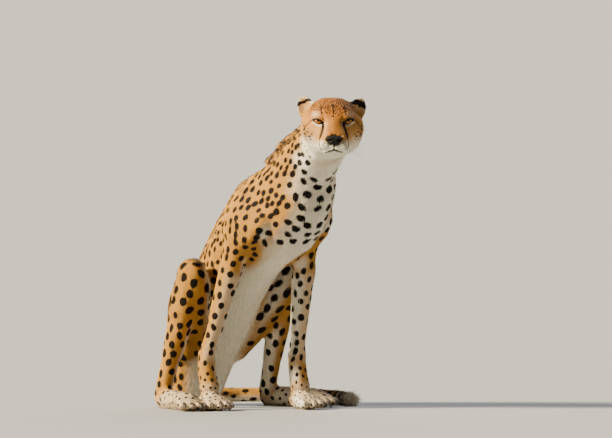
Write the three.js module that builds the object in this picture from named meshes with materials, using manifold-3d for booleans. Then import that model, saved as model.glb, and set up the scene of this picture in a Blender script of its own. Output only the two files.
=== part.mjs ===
// A life-size cheetah sitting on its haunches, leaning forward, with its head turned to its right.
// The trunk and neck are one smooth body cut into lengths, and the limbs are set into it. Millimetres:
// +X is the way the trunk faces, +Y its left and +Z up, with the floor at z = 0.
import * as THREE from "three";
import { mergeVertices } from "three/addons/utils/BufferGeometryUtils.js";
import Module from "manifold-3d";

const wasm = await Module();
wasm.setup();

// ---- Driving dimensions (mm and degrees) ----
const GAP = 0.3; // clearance between neighbouring solids
const SPINE_LENGTH = 900; // of the line down the middle of the trunk and neck, roughly
const TAIL_LENGTH = 760; // of the line down the middle of the tail, roughly
const HEAD_YAW = -32; // the head's turn to the animal's right
const HEAD_PLACE = new THREE.Vector3(335, -48, 719); // midway between the eyes
const EYE_RADIUS = 15.5;
const EYE_PLACE = new THREE.Vector3(24, 37, 0); // left eye's centre in the head's frame
const LID = { inner: [-11, -3], outer: [13, 4], top: 6.5, bottom: -6 }; // almond corners and lid heights
const EAR_PLACE = new THREE.Vector3(-36, 61, 24); // left ear's root in the head's frame
const RIGHT_EAR_RISE = 4; // the right ear is held this much higher
const TAIL_RADIUS = [34, 22, 19, 21, 17]; // from the root to the tip's tuft
const TOE_RADIUS = 13;
const CLAW_LENGTH = 13;
const CLAW_RADIUS = 3.4;

// ---- Colours ----
const COLOURS = { coat: 0xd9a767, throat: 0xe9d3ad, eye: 0xb5651d, nose: 0x1d1715, claw: 0x2a221d };

const vec = (x, y, z) => new THREE.Vector3(x, y, z);
const UP = vec(0, 0, 1);
const LEFT = vec(0, 1, 0);

// ---- Solids ----

function toSolid(geometry) {
  const bare = geometry.clone();
  bare.deleteAttribute("normal");
  bare.deleteAttribute("uv");
  const merged = mergeVertices(bare, 1e-4);
  const vertProperties = new Float32Array(merged.attributes.position.array);
  const triVerts = new Uint32Array(merged.index.array);
  return new wasm.Manifold(new wasm.Mesh({ numProp: 3, vertProperties, triVerts }));
}

function toGeometry(solid) {
  const mesh = solid.getMesh();
  const geometry = new THREE.BufferGeometry();
  geometry.setAttribute("position", new THREE.BufferAttribute(mesh.vertProperties, 3));
  geometry.setIndex(new THREE.BufferAttribute(mesh.triVerts, 1));
  return geometry;
}

const join = (solids) => solids.reduce((all, next) => all.add(next));

function largest(solid) {
  const bodies = solid.decompose();
  return bodies.reduce((best, next) => (next.volume() > best.volume() ? next : best));
}

const aboveFloor = (solid) => solid.trimByPlane([0, 0, 1], 0);

// A closed tube of egg-shaped rings. Each station is [x, y, z, half width, half depth to the top or front,
// half depth to the underside or back]. hint is the way the half width points, or null where it is level.
// ends are the lengths of the two rounded caps (0 is a flat end), and span is the stretch that is made.
function loftGeometry(shape, grow) {
  const { stations, rings, sides, hint = LEFT, ends = [20, 20], span = [0, 1], capAngles = [42] } = shape;
  const centres = new THREE.CatmullRomCurve3(stations.map(([x, y, z]) => vec(x, y, z)), false, "centripetal");
  const halves = stations.map(([, , , wide, top, under]) => vec(wide, top, under));
  const sizes = new THREE.CatmullRomCurve3(halves, false, "catmullrom", 0.5);
  const caps = capAngles.map(THREE.MathUtils.degToRad);
  const positions = [];
  let count = 0;

  const addRing = (t, shrink, shift) => {
    const tangent = centres.getTangent(t);
    const side = (hint ?? UP.clone().cross(tangent)).clone();
    side.addScaledVector(tangent, -side.dot(tangent)).normalize();
    const top = tangent.clone().cross(side);
    const size = sizes.getPoint(t);
    for (let i = 0; i < sides; i++) {
      const angle = (2 * Math.PI * i) / sides;
      const deep = Math.sin(angle) > 0 ? size.y : size.z;
      const point = centres.getPoint(t).addScaledVector(tangent, shift);
      point.addScaledVector(side, Math.cos(angle) * (size.x + grow) * shrink);
      point.addScaledVector(top, Math.sin(angle) * (deep + grow) * shrink);
      positions.push(point.x, point.y, point.z);
    }
    count += 1;
  };
  const addCap = (t, length, way, angles) => {
    angles.forEach((angle) => addRing(t, Math.cos(angle), way * (length + grow) * Math.sin(angle)));
  };
  const addPole = (t, shift) => {
    const pole = centres.getPoint(t).addScaledVector(centres.getTangent(t), shift);
    positions.push(pole.x, pole.y, pole.z);
  };

  if (ends[0] > 0) addCap(span[0], ends[0], -1, caps);
  for (let i = 0; i <= rings; i++) {
    const flatShift = (i === 0 && !ends[0] ? -grow : 0) + (i === rings && !ends[1] ? grow : 0);
    addRing(THREE.MathUtils.lerp(span[0], span[1], i / rings), 1, flatShift);
  }
  if (ends[1] > 0) addCap(span[1], ends[1], 1, [...caps].reverse());
  addPole(span[0], -ends[0] - grow);
  addPole(span[1], ends[1] + grow);

  const index = [];
  for (let ring = 0; ring + 1 < count; ring++) {
    for (let i = 0; i < sides; i++) {
      const here = ring * sides + i;
      const beside = ring * sides + ((i + 1) % sides);
      index.push(here, beside, beside + sides, here, beside + sides, here + sides);
    }
  }
  const startPole = count * sides;
  for (let i = 0; i < sides; i++) {
    const next = (i + 1) % sides;
    index.push(startPole, next, i);
    index.push(startPole + 1, startPole - sides + i, startPole - sides + next);
  }
  const geometry = new THREE.BufferGeometry();
  geometry.setAttribute("position", new THREE.Float32BufferAttribute(positions, 3));
  geometry.setIndex(index);
  return geometry;
}

const loft = (shape, grow = 0) => toSolid(loftGeometry(shape, grow));

// ---- Trunk and neck: one loft along the spine line ----
const SPINE = [
  [-322, 0, 32, 66, 60, 62],
  [-300, 0, 134, 92, 82, 92],
  [-228, 0, 232, 92, 102, 92],
  [-152, 0, 322, 90, 110, 86],
  [-74, 0, 402, 95, 120, 96],
  [6, 0, 464, 101, 122, 122],
  [82, 2, 516, 96, 112, 120],
  [126, 3, 570, 83, 92, 108],
  [163, -1, 618, 71, 69, 86],
  [214, -10, 652, 63, 56, 83],
  [268, -20, 678, 62, 60, 69],
];
const TORSO ={ stations: SPINE, rings: 17, sides: 16, ends: [34, 20] };
const TORSO_SPANS = { rump: [0, 0.22], belly: [0.22, 0.45], chest: [0.45, 0.74], neck: [0.74, 1] };

// Stretches of a line, parted by thin cuts: span is the stretch and length the whole line's length.
function stretchBetween(start, end, length) {
  const cut = (0.5 * GAP) / length;
  return [start === 0 ? 0 : start + cut, end === 1 ? 1 : end - cut];
}

function torsoLength(name, grow = 0) {
  const [start, end] = TORSO_SPANS[name];
  const ends = [start === 0 ? TORSO.ends[0] : 0, end === 1 ? TORSO.ends[1] : 0];
  const span = stretchBetween(start, end, SPINE_LENGTH);
  return loft({ ...TORSO, span, ends, rings: Math.round(TORSO.rings * (end - start)) }, grow);
}

// ---- Legs: the places of their joints ----
const FORELEG = {
  right: { side: -1, blade: [34, -56, 556], elbow: [-8, -98, 384], wrist: [-92, -126, 128], heading: -4 },
  left: { side: 1, blade: [44, 64, 556], elbow: [38, 78, 386], wrist: [-20, 94, 128], heading: 6 },
};
const HINDLEG = {
  right: {
    side: -1, hip: [-258, -62, 176], knee: [-130, -140, 330], hock: [-226, -156, 62], toes: [-32, -201, 22],
  },
  left: {
    side: 1, hip: [-258, 62, 176], knee: [-130, 140, 330], hock: [-226, 156, 62], toes: [-32, 201, 22],
  },
};
const FORE_PAW_AHEAD = 16; // of the wrist
const HIND_PAW_BEHIND = 62; // of the toes' reach
const HIND_PAW_HEADING = 7; // degrees outwards

const between = (a, b, t) => a.map((value, i) => value + (b[i] - value) * t);
const shifted = (a, offset) => a.map((value, i) => value + offset[i]);
const station = (at, ...sizes) => [...at, ...sizes];

function foreUpper(leg, grow = 0) {
  const { blade, elbow, side } = leg;
  return loft(
    {
      stations: [
        station(blade, 24, 40, 34),
        station(shifted(between(blade, elbow, 0.3), [0, side * 9, 0]), 35, 102, 54),
        station(shifted(between(blade, elbow, 0.62), [0, side * 11, 0]), 39, 88, 54),
        station(between(blade, elbow, 0.88), 34, 46, 46),
        station(between(blade, elbow, 1.02), 30, 32, 36),
      ],
      rings: 7,
      sides: 12,
      ends: [26, 20],
    },
    grow,
  );
}

function foreLower(leg, grow = 0) {
  const { elbow, wrist } = leg;
  return loft(
    {
      stations: [
        station(between(elbow, wrist, -0.04), 28, 32, 36),
        station(between(elbow, wrist, 0.2), 29, 31, 32),
        station(between(elbow, wrist, 0.55), 24, 25, 25),
        station(between(elbow, wrist, 0.85), 20, 20, 21),
        station(wrist, 24, 23, 23),
        station(shifted(wrist, [6, 0, -40]), 24, 23, 23),
        station(shifted(wrist, [14, 0, -76]), 27, 26, 24),
      ],
      rings: 8,
      sides: 9,
      ends: [22, 14],
    },
    grow,
  );
}

// Places in a paw are along its heading, to its left and up, from the point on the floor under the ankle.
function pawFrame(ankle, heading) {
  const angle = THREE.MathUtils.degToRad(heading);
  return (along, left, up) => [
    ankle[0] + along * Math.cos(angle) - left * Math.sin(angle),
    ankle[1] + along * Math.sin(angle) + left * Math.cos(angle),
    up,
  ];
}

const TOES = [
  { left: -27, tip: 58 },
  { left: -10, tip: 69 },
  { left: 9, tip: 69 },
  { left: 26, tip: 58 },
];

function paw(place, grow = 0) {
  const pad = {
    stations: [
      station(place(-16, 0, 27), 24, 22, 26),
      station(place(10, 0, 25), 31, 22, 27),
      station(place(34, 0, 20), 35, 18, 22),
    ],
    hint: null,
    rings: 2,
    sides: 8,
    ends: [16, 18],
  };
  const toes = TOES.map(({ left, tip }) =>
    loft(
      {
        stations: [
          station(place(22, left * 0.8, 24), 12, 13, 13),
          station(place(tip - 22, left, 23), TOE_RADIUS, 13, 15),
          station(place(tip - 8, left * 1.06, 14), TOE_RADIUS, 12, 15),
        ],
        hint: null,
        rings: 1,
        sides: 6,
        ends: [8, 9],
      },
      grow,
    ),
  );
  return join([loft(pad, grow), ...toes]);
}

function claw(place, toe, grow = 0) {
  const { left, tip } = toe;
  const root = tip - 4;
  return loft(
    {
      stations: [
        station(place(root, left * 1.06, 18), CLAW_RADIUS, CLAW_RADIUS, CLAW_RADIUS),
        station(place(root + CLAW_LENGTH * 0.68, left * 1.08, 15), 2.8, 2.8, 2.8),
        station(place(root + CLAW_LENGTH, left * 1.1, 8), 1.4, 1.4, 1.4),
      ],
      hint: null,
      rings: 2,
      sides: 5,
      ends: [2, 1],
      capAngles: [],
    },
    grow,
  );
}

function thigh(leg, grow = 0) {
  const { hip, knee, side } = leg;
  return loft(
    {
      stations: [
        station(shifted(hip, [-14, 0, -26]), 46, 56, 60),
        station(shifted(between(hip, knee, 0.28), [0, side * 3, 0]), 51, 66, 76),
        station(shifted(between(hip, knee, 0.62), [0, side * 4, 0]), 47, 54, 70),
        station(between(hip, knee, 0.86), 42, 48, 64),
        station(knee, 38, 46, 50),
      ],
      rings: 6,
      sides: 12,
      ends: [38, 42],
    },
    grow,
  );
}

function shank(leg, grow = 0) {
  const { knee, hock } = leg;
  return loft(
    {
      stations: [
        station(between(knee, hock, 0.02), 37, 43, 44),
        station(between(knee, hock, 0.3), 35, 38, 41),
        station(between(knee, hock, 0.65), 27, 28, 32),
        station(between(knee, hock, 0.92), 21, 22, 26),
        station(shifted(hock, [-8, 0, -26]), 22, 24, 24),
      ],
      rings: 6,
      sides: 9,
      ends: [26, 14],
    },
    grow,
  );
}

function hindFoot(leg, place, grow = 0) {
  const { hock, toes } = leg;
  const heel = [hock[0] - 14, hock[1], 30];
  const bone = {
    stations: [
      station(heel, 21, 22, 32),
      station(between(heel, toes, 0.35), 22, 22, 28),
      station(between(heel, toes, 0.8), 27, 22, 25),
    ],
    hint: null,
    rings: 3,
    sides: 9,
    ends: [16, 20],
  };
  return join([loft(bone, grow), paw(place, grow)]);
}

// ---- Tail ----
const TAIL_LINE = [
  [-338, 0, 66],
  [-396, 8, 36],
  [-440, 46, 21],
  [-462, 124, 18],
  [-440, 215, 17],
  [-370, 290, 17],
  [-270, 325, 16],
  [-165, 322, 17],
  [-85, 300, 16],
];

function tailRadius(along) {
  const place = along * (TAIL_RADIUS.length - 1);
  const low = Math.min(Math.floor(place), TAIL_RADIUS.length - 2);
  return THREE.MathUtils.lerp(TAIL_RADIUS[low], TAIL_RADIUS[low + 1], place - low);
}

function tailLength(start, end, grow = 0) {
  const stations = TAIL_LINE.map((at, i) => {
    const radius = tailRadius(i / (TAIL_LINE.length - 1));
    return station(at, radius, radius, radius);
  });
  const ends = [start === 0 ? 20 : 0, end === 1 ? 30 : 0];
  const span = stretchBetween(start, end, TAIL_LENGTH);
  return loft({ stations, hint: null, rings: 5, sides: 8, ends, span }, grow);
}

// ---- Head, in its own frame: x forward, y left, z up, from midway between the eyes ----
const HEAD_STATIONS = [
  [-120, 0, -24, 42, 42, 46],
  [-92, 0, -20, 60, 56, 62],
  [-58, 0, -18, 74, 73, 72],
  [-25, 0, -20, 78, 76, 72],
  [4, 0, -22, 75, 67, 70],
  [24, 0, -27, 63, 51, 64],
  [40, 0, -35, 50, 40, 54],
  [54, 0, -43, 40, 31, 46],
  [66, 0, -51, 35, 25, 39],
  [75, 0, -58, 31, 19, 32],
];
// Shaping pushes: where, how far they reach, and the move there. Each is repeated on the other side.
const HEAD_PUSHES = [
  { name: "crown's side", at: [-22, 34, 48], reach: 38, move: [0, 1, 3.5] },
  { name: "eye socket", at: [40, 40, -4], reach: 30, move: [-9, 1, 0] },
  { name: "inner eye corner", at: [50, 23, -5], reach: 18, move: [-7, 0, 0] },
  { name: "brow", at: [26, 32, 24], reach: 30, move: [6, 0, 2] },
  { name: "cheekbone", at: [8, 66, -12], reach: 34, move: [3, 4, 0] },
  { name: "cheek ruff", at: [-22, 66, -46], reach: 40, move: [0, -3, -2] },
  { name: "hollow under the cheekbone", at: [36, 46, -42], reach: 26, move: [-5, -3, 0] },
  { name: "whisker pad", at: [66, 26, -62], reach: 27, move: [7, 6, 1] },
  { name: "chin", at: [70, 0, -86], reach: 28, move: [7, 0, -3] },
  { name: "nose bridge", at: [52, 0, -10], reach: 28, move: [2, 0, 4] },
];

function placeHead(geometry) {
  return geometry.rotateZ(THREE.MathUtils.degToRad(HEAD_YAW)).translate(...HEAD_PLACE);
}

function pushHead(point) {
  const start = point.clone();
  for (const { at, reach, move } of HEAD_PUSHES) {
    for (const side of at[1] ? [1, -1] : [1]) {
      const nearness = 1 - start.distanceTo(vec(at[0], at[1] * side, at[2])) / reach;
      const weight = THREE.MathUtils.smoothstep(nearness, 0, 1);
      point.add(vec(move[0], move[1] * side, move[2]).multiplyScalar(weight));
    }
  }
}

function headForm(grow = 0) {
  const geometry = loftGeometry({ stations: HEAD_STATIONS, rings: 17, sides: 20, ends: [24, 8] }, grow);
  const position = geometry.attributes.position;
  const point = vec(0, 0, 0);
  for (let i = 0; i < position.count; i++) {
    point.fromBufferAttribute(position, i);
    pushHead(point);
    position.setXYZ(i, point.x, point.y, point.z);
  }
  const form = toSolid(placeHead(geometry));
  return grow ? form : form.subtract(lidOpening(1)).subtract(lidOpening(-1));
}

function eye(side, grow = 0) {
  const geometry = new THREE.SphereGeometry(EYE_RADIUS + grow, 10, 6);
  geometry.translate(EYE_PLACE.x, EYE_PLACE.y * side, EYE_PLACE.z);
  return toSolid(placeHead(geometry));
}

function ear(side, grow = 0) {
  const shell = (sizes, offset) => {
    const geometry = new THREE.SphereGeometry(1, 10, 6);
    geometry.scale(sizes[0] + grow, sizes[1] + grow, sizes[2] + grow);
    geometry.translate(...offset);
    geometry.rotateX(THREE.MathUtils.degToRad(-24 * side));
    geometry.rotateZ(THREE.MathUtils.degToRad(24 * side));
    geometry.translate(EAR_PLACE.x, EAR_PLACE.y * side, EAR_PLACE.z + (side < 0 ? RIGHT_EAR_RISE : 0));
    return toSolid(placeHead(geometry));
  };
  return shell([13, 24, 34], [0, 0, 0]).subtract(shell([12, 19.5, 27], [8, 0, 3]));
}

function nose(grow = 0) {
  const geometry = loftGeometry(
    {
      stations: [
        [72, 0, -41, 15, 9, 12],
        [80, 0, -42, 21, 12, 16],
        [87, 0, -44, 18.5, 10, 15],
      ],
      rings: 2,
      sides: 12,
      ends: [6, 5],
    },
    grow,
  );
  return toSolid(placeHead(geometry));
}

// The opening between the lids: an almond, cut from the head outwards from the eyeball.
function lidOpening(side) {
  const almond = new THREE.Shape();
  const { inner, outer, top, bottom } = LID;
  const cornerHeight = (inner[1] + outer[1]) / 2;
  almond.moveTo(inner[0] * side, inner[1]);
  almond.quadraticCurveTo(0, top * 2 - cornerHeight, outer[0] * side, outer[1]);
  almond.quadraticCurveTo(0, bottom * 2 - cornerHeight, inner[0] * side, inner[1]);
  const geometry = new THREE.ExtrudeGeometry(almond, { depth: 60, bevelEnabled: false, curveSegments: 5 });
  geometry.applyMatrix4(new THREE.Matrix4().makeBasis(LEFT, UP, vec(1, 0, 0)));
  geometry.translate(EYE_PLACE.x, EYE_PLACE.y * side, EYE_PLACE.z);
  return toSolid(placeHead(geometry));
}

// ---- Assembly: every piece in carving order, each cut clear of the ones before it ----
const pieces = [];
const add = (name, colour, make, roughness = 0.8) => pieces.push({ name, colour, make, roughness });
const SIDES = { left: 1, right: -1 };

for (const [label, side] of Object.entries(SIDES)) {
  add(`eye_${label}`, COLOURS.eye, (grow) => eye(side, grow), 0.1);
}
add("nose", COLOURS.nose, nose, 0.5);

function addClaws(name, place) {
  TOES.forEach((toe, i) => add(`claw_${name}_${i + 1}`, COLOURS.claw, (grow) => claw(place, toe, grow), 0.4));
}

for (const [label, leg] of Object.entries(FORELEG)) {
  leg.place = pawFrame([leg.wrist[0] + FORE_PAW_AHEAD, leg.wrist[1]], leg.heading);
  addClaws(`fore_${label}`, leg.place);
}
for (const [label, leg] of Object.entries(HINDLEG)) {
  const ankle = [leg.toes[0] - HIND_PAW_BEHIND, leg.toes[1] - leg.side * 8];
  leg.place = pawFrame(ankle, HIND_PAW_HEADING * leg.side);
  addClaws(`hind_${label}`, leg.place);
}
for (const [label, leg] of Object.entries(FORELEG)) {
  add(`paw_fore_${label}`, COLOURS.coat, (grow) => paw(leg.place, grow));
  add(`foreleg_lower_${label}`, COLOURS.coat, (grow) => foreLower(leg, grow));
  add(`foreleg_upper_${label}`, COLOURS.coat, (grow) => foreUpper(leg, grow));
}
for (const [label, leg] of Object.entries(HINDLEG)) {
  add(`foot_hind_${label}`, COLOURS.coat, (grow) => hindFoot(leg, leg.place, grow));
  add(`hindleg_lower_${label}`, COLOURS.coat, (grow) => shank(leg, grow));
  add(`hindleg_upper_${label}`, COLOURS.coat, (grow) => thigh(leg, grow));
}
add("head", COLOURS.coat, headForm);
for (const [label, side] of Object.entries(SIDES)) {
  add(`ear_${label}`, COLOURS.coat, (grow) => ear(side, grow));
}
add("neck", COLOURS.throat, (grow) => torsoLength("neck", grow));
for (const name of ["chest", "belly", "rump"]) {
  add(name, COLOURS.coat, (grow) => torsoLength(name, grow));
}
for (const [name, start, end] of [["tail_root", 0, 0.36], ["tail_middle", 0.36, 0.7], ["tail_tip", 0.7, 1]]) {
  add(name, COLOURS.coat, (grow) => tailLength(start, end, grow));
}

function boxesMeet(a, b) {
  return [0, 1, 2].every((k) => a.min[k] < b.max[k] && b.min[k] < a.max[k]);
}

const cheetah = new THREE.Group();
const carvers = [];
for (const { name, colour, make, roughness } of pieces) {
  let solid = make(0);
  const box = solid.boundingBox();
  for (const carver of carvers) {
    if (boxesMeet(carver.box, box)) {
      solid = solid.subtract(carver.grown);
    }
  }
  solid = aboveFloor(largest(solid));
  const grown = make(GAP);
  carvers.push({ grown, box: grown.boundingBox() });
  const material = new THREE.MeshStandardMaterial({ color: colour, roughness, metalness: 0 });
  const mesh = new THREE.Mesh(toGeometry(solid), material);
  mesh.name = name;
  cheetah.add(mesh);
}

// The origin is on the floor, under the middle of the bounding box.
const middle = new THREE.Box3().setFromObject(cheetah).getCenter(vec(0, 0, 0));
cheetah.position.set(-middle.x, -middle.y, 0);

export default cheetah;
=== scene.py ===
"""Looks of a life-size sitting cheetah: one skin, a coat of solid tufts, eyes, nose, claws and whiskers.

The mesh is in metres. Places written out here are in millimetres, in the animal's own layout (+X the way the
trunk faces, +Y its left, +Z up) or in the head's frame (x forward, y left and z up from between the eyes).
"""

import math
from contextlib import contextmanager

import bmesh
import bpy
import numpy as np
from bpy.props import FloatProperty, FloatVectorProperty, IntProperty, PointerProperty
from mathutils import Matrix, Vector
from mathutils.bvhtree import BVHTree
from mathutils.kdtree import KDTree


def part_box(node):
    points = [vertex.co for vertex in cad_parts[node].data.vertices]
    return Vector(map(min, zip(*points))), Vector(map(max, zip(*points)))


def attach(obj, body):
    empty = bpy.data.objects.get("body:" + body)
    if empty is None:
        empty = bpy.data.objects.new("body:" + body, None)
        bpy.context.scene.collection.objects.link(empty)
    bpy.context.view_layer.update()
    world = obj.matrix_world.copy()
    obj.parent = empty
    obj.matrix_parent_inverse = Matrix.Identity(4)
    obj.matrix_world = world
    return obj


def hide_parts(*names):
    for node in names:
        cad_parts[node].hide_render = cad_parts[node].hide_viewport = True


bl_info = {
    "name": "Sitting cheetah",
    "version": (1, 0, 0),
    "blender": (4, 5, 0),
    "location": "3D View > Sidebar > Cheetah",
    "description": "Builds the skin, coat and fittings of a sitting cheetah round its solids",
    "category": "Object",
}

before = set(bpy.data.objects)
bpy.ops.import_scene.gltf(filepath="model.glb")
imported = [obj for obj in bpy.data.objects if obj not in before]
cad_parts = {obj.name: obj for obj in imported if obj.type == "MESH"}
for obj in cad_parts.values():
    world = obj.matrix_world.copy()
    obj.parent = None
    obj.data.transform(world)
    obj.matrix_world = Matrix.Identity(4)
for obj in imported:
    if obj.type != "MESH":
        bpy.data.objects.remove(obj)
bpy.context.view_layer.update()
MM = 0.001

# ---- Places of the solids ----
HEAD_TURN = math.radians(-32)
HEAD_AXES = np.array([
    [math.cos(HEAD_TURN), math.sin(HEAD_TURN), 0.0],
    [-math.sin(HEAD_TURN), math.cos(HEAD_TURN), 0.0],
    [0.0, 0.0, 1.0],
])
EYE_CENTRE = np.array([24.0, 37.0, 0.0]) * MM
EYE_RADIUS = 15.5 * MM
HEAD_PLACE_IN_LAYOUT = np.array([335.0, -48.0, 719.0]) * MM


def middle_of(node):
    low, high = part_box(node)
    return (np.array(low) + np.array(high)) / 2


HEAD_PLACE = (middle_of("eye_left") + middle_of("eye_right")) / 2 - HEAD_AXES[0] * EYE_CENTRE[0]
LAYOUT_SHIFT = HEAD_PLACE - HEAD_PLACE_IN_LAYOUT


def from_layout(places):
    """World places of points in the animal's layout, in millimetres."""
    return np.asarray(places, float) * MM + LAYOUT_SHIFT


def from_head(places):
    """World places of points in the head's frame, in millimetres."""
    return (np.asarray(places, float) * MM) @ HEAD_AXES + HEAD_PLACE


def to_head(points):
    """Places in the head's frame, in millimetres, of world points."""
    return (points - HEAD_PLACE) @ HEAD_AXES.T / MM


FLESH = [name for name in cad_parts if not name.startswith(("eye_", "claw_", "nose"))]
CLAWS = sorted(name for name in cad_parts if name.startswith("claw_"))
SIDES = {"left": 1, "right": -1}  # with the sign of y on each


# ---- Settings ----
class CheetahSizes(bpy.types.PropertyGroup):
    """Sizes of the skin, the coat and the fittings."""
    voxel: FloatProperty(name="Skin grain", description="Cell size of the skin before it is refined",
                         default=0.0052, unit="LENGTH")
    coat_depth: FloatProperty(name="Coat depth", description="Multiplies how deep the coat is everywhere",
                              default=1.0, min=0.2, max=2.0)
    tuft_width: FloatProperty(name="Tuft width", description="Width of a tuft of the body's coat",
                              default=0.00105, unit="LENGTH")
    body_tufts: IntProperty(name="Body tufts", description="Short tufts over the trunk, legs and tail",
                            default=243000)
    long_tufts: IntProperty(name="Long tufts", description="Long curved tufts of mane, chest and belly",
                            default=30000)
    head_tufts: IntProperty(name="Head tufts", description="Fine tufts over the head and ears", default=52000)
    iris: FloatProperty(name="Iris", description="Radius of the coloured ring of the eye",
                        default=0.0088, unit="LENGTH")
    pupil: FloatProperty(name="Pupil", description="Radius of the pupil", default=0.0024, unit="LENGTH")
    whisker: FloatProperty(name="Whisker length", description="Length of the longest whisker",
                           default=0.062, unit="LENGTH")
    seed: IntProperty(name="Seed", description="Start of every random choice", default=11)


def colour(name, description, default):
    return FloatVectorProperty(name=name, description=description, default=default, size=3,
                               subtype="COLOR", min=0.0, max=1.0)


class CheetahColours(bpy.types.PropertyGroup):
    """Colours of the coat and the fittings, in linear light."""
    gold: colour("Gold", "Coat of the back and flanks", (0.50, 0.242, 0.041))
    rust: colour("Rust", "Warmer coat of the crown and the nose bridge", (0.345, 0.112, 0.016))
    cream: colour("Cream", "Pale coat of throat, chest, belly and inner legs", (0.96, 0.88, 0.70))
    spot: colour("Spot", "Spots, face lines and tail rings", (0.0085, 0.005, 0.0035))
    dusk: colour("Dusk", "Dark brown of the nape's mane", (0.022, 0.013, 0.008))
    iris: colour("Iris", "Middle of the iris", (0.58, 0.17, 0.012))
    nose: colour("Nose", "Bare skin of nose and lids", (0.0045, 0.0038, 0.0036))
    claw: colour("Claw", "Horn of the claws", (0.030, 0.022, 0.017))
    floor: colour("Floor", "Studio floor", (0.33, 0.33, 0.33))


def sizes():
    return bpy.context.scene.cheetah_sizes


def colours():
    return bpy.context.scene.cheetah_colours


# ---- Plain arithmetic ----
def smooth(low, high, value):
    """0 where the value is at low and beyond, 1 at high and beyond, and an even S between."""
    t = np.clip((np.asarray(value, float) - low) / (high - low), 0, 1)
    return t * t * (3 - 2 * t)


def bell(value, middle, width):
    """1 at the middle, falling away to both sides over the width."""
    return np.exp(-((value - middle) / width) ** 2)


def mix(a, b, weight):
    """a where the weight is 0, b where it is 1."""
    weight = np.asarray(weight)
    if np.ndim(a) > np.ndim(weight):
        weight = weight[..., None]
    return a * (1 - weight) + b * weight


def unit(vectors):
    return vectors / np.maximum(np.linalg.norm(vectors, axis=-1, keepdims=True), 1e-12)


def dot(a, b):
    return np.sum(a * b, axis=-1)


def on_segment(points, start, end):
    """Distance of each point from a segment, and how far along it the nearest place is (0 to 1)."""
    line = end - start
    along = np.clip((points - start) @ line / (line @ line), 0, 1)
    return np.linalg.norm(points - start - along[:, None] * line, axis=1), along


def on_line(points, line):
    """Distance of each point from a line of many points, and the share of the line's length there."""
    line = np.asarray(line, float)
    lengths = np.linalg.norm(np.diff(line, axis=0), axis=1)
    begins = np.concatenate([[0], np.cumsum(lengths)])
    best = np.full(len(points), 1e9)
    share = np.zeros(len(points))
    for start, end, begin, length in zip(line[:-1], line[1:], begins, lengths):
        reach, along = on_segment(points, start, end)
        nearer = reach < best
        best[nearer] = reach[nearer]
        share[nearer] = (begin + along[nearer] * length) / begins[-1]
    return best, share


def waves(points, size, seed):
    """Smooth noise from about -1 to 1 with bumps of the given size."""
    random = np.random.default_rng(seed)
    total = np.zeros(len(points))
    for _ in range(7):
        way = unit(random.normal(size=3)) * (2 * math.pi / (size * random.uniform(0.8, 1.7)))
        total += np.sin(points @ way + random.uniform(0, 2 * math.pi))
    return total / 3.2


# ---- The animal's lines: bones, with what the coat does round each ----
TAIL_LINE = from_layout([
    (-338, 0, 66), (-396, 8, 36), (-440, 46, 21), (-462, 124, 18), (-440, 215, 17),
    (-370, 290, 17), (-270, 325, 16), (-165, 322, 17), (-85, 300, 16),
])
SPINE = {
    "nape": (268, -20, 678), "neck": (163, -1, 618), "withers": (82, 2, 516), "ribs": (-40, 0, 430),
    "loin": (-152, 0, 322), "croup": (-228, 0, 232), "seat": (-322, 0, 32),
}
# Round a bone: reach of the flesh, length and depth of the hair, half length, half width and spacing of spots
COATS = {
    "head": (70, 8, 1.5, 2.0, 1.7, 8),
    "neck": (60, 11, 3.0, 8.3, 7.1, 17.4),
    "withers": (88, 10.5, 2.8, 8.3, 7.1, 17.6),
    "flank": (95, 10.5, 2.8, 7.9, 6.7, 16.0),
    "seat": (85, 11, 2.9, 9.6, 7.2, 21.5),
    "upper_arm": (46, 10.5, 2.7, 8.8, 7.4, 20.8),
    "forearm": (27, 8.5, 2.0, 8.8, 7.0, 22.5),
    "pastern": (23, 6.5, 1.5, 5.0, 4.2, 16),
    "paw": (24, 4.2, 1.0, 2.8, 2.5, 12),
    "thigh": (66, 11, 2.8, 13.0, 9.2, 28),
    "shank": (34, 9.5, 2.2, 10.0, 7.8, 24.5),
    "heel": (24, 5.6, 1.3, 4.6, 3.8, 16),
    "tail": (25, 13, 3.0, 8.0, 6.2, 21),
}
BONES = {}  # piece of the coat, start and end in the world, and the coat round the bone


def add_bone(name, piece, start, end, coat):
    BONES[name] = (piece, np.asarray(start, float), np.asarray(end, float), COATS[coat])


add_bone("head", "head", from_head((50, 0, -30)), from_head((-100, 0, -22)), "head")
for begin, finish, piece, coat in [
    ("nape", "neck", "neck", "neck"), ("neck", "withers", "neck", "neck"),
    ("withers", "ribs", "chest", "withers"), ("ribs", "loin", "flank", "flank"),
    ("loin", "croup", "flank", "flank"), ("croup", "seat", "rump", "seat"),
]:
    add_bone(f"spine_{begin}", piece, from_layout(SPINE[begin]), from_layout(SPINE[finish]), coat)
for count, (begin, finish) in enumerate(zip(TAIL_LINE[:-1], TAIL_LINE[1:])):
    add_bone(f"tail_{count}", "tail", begin, finish, "tail")

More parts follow.
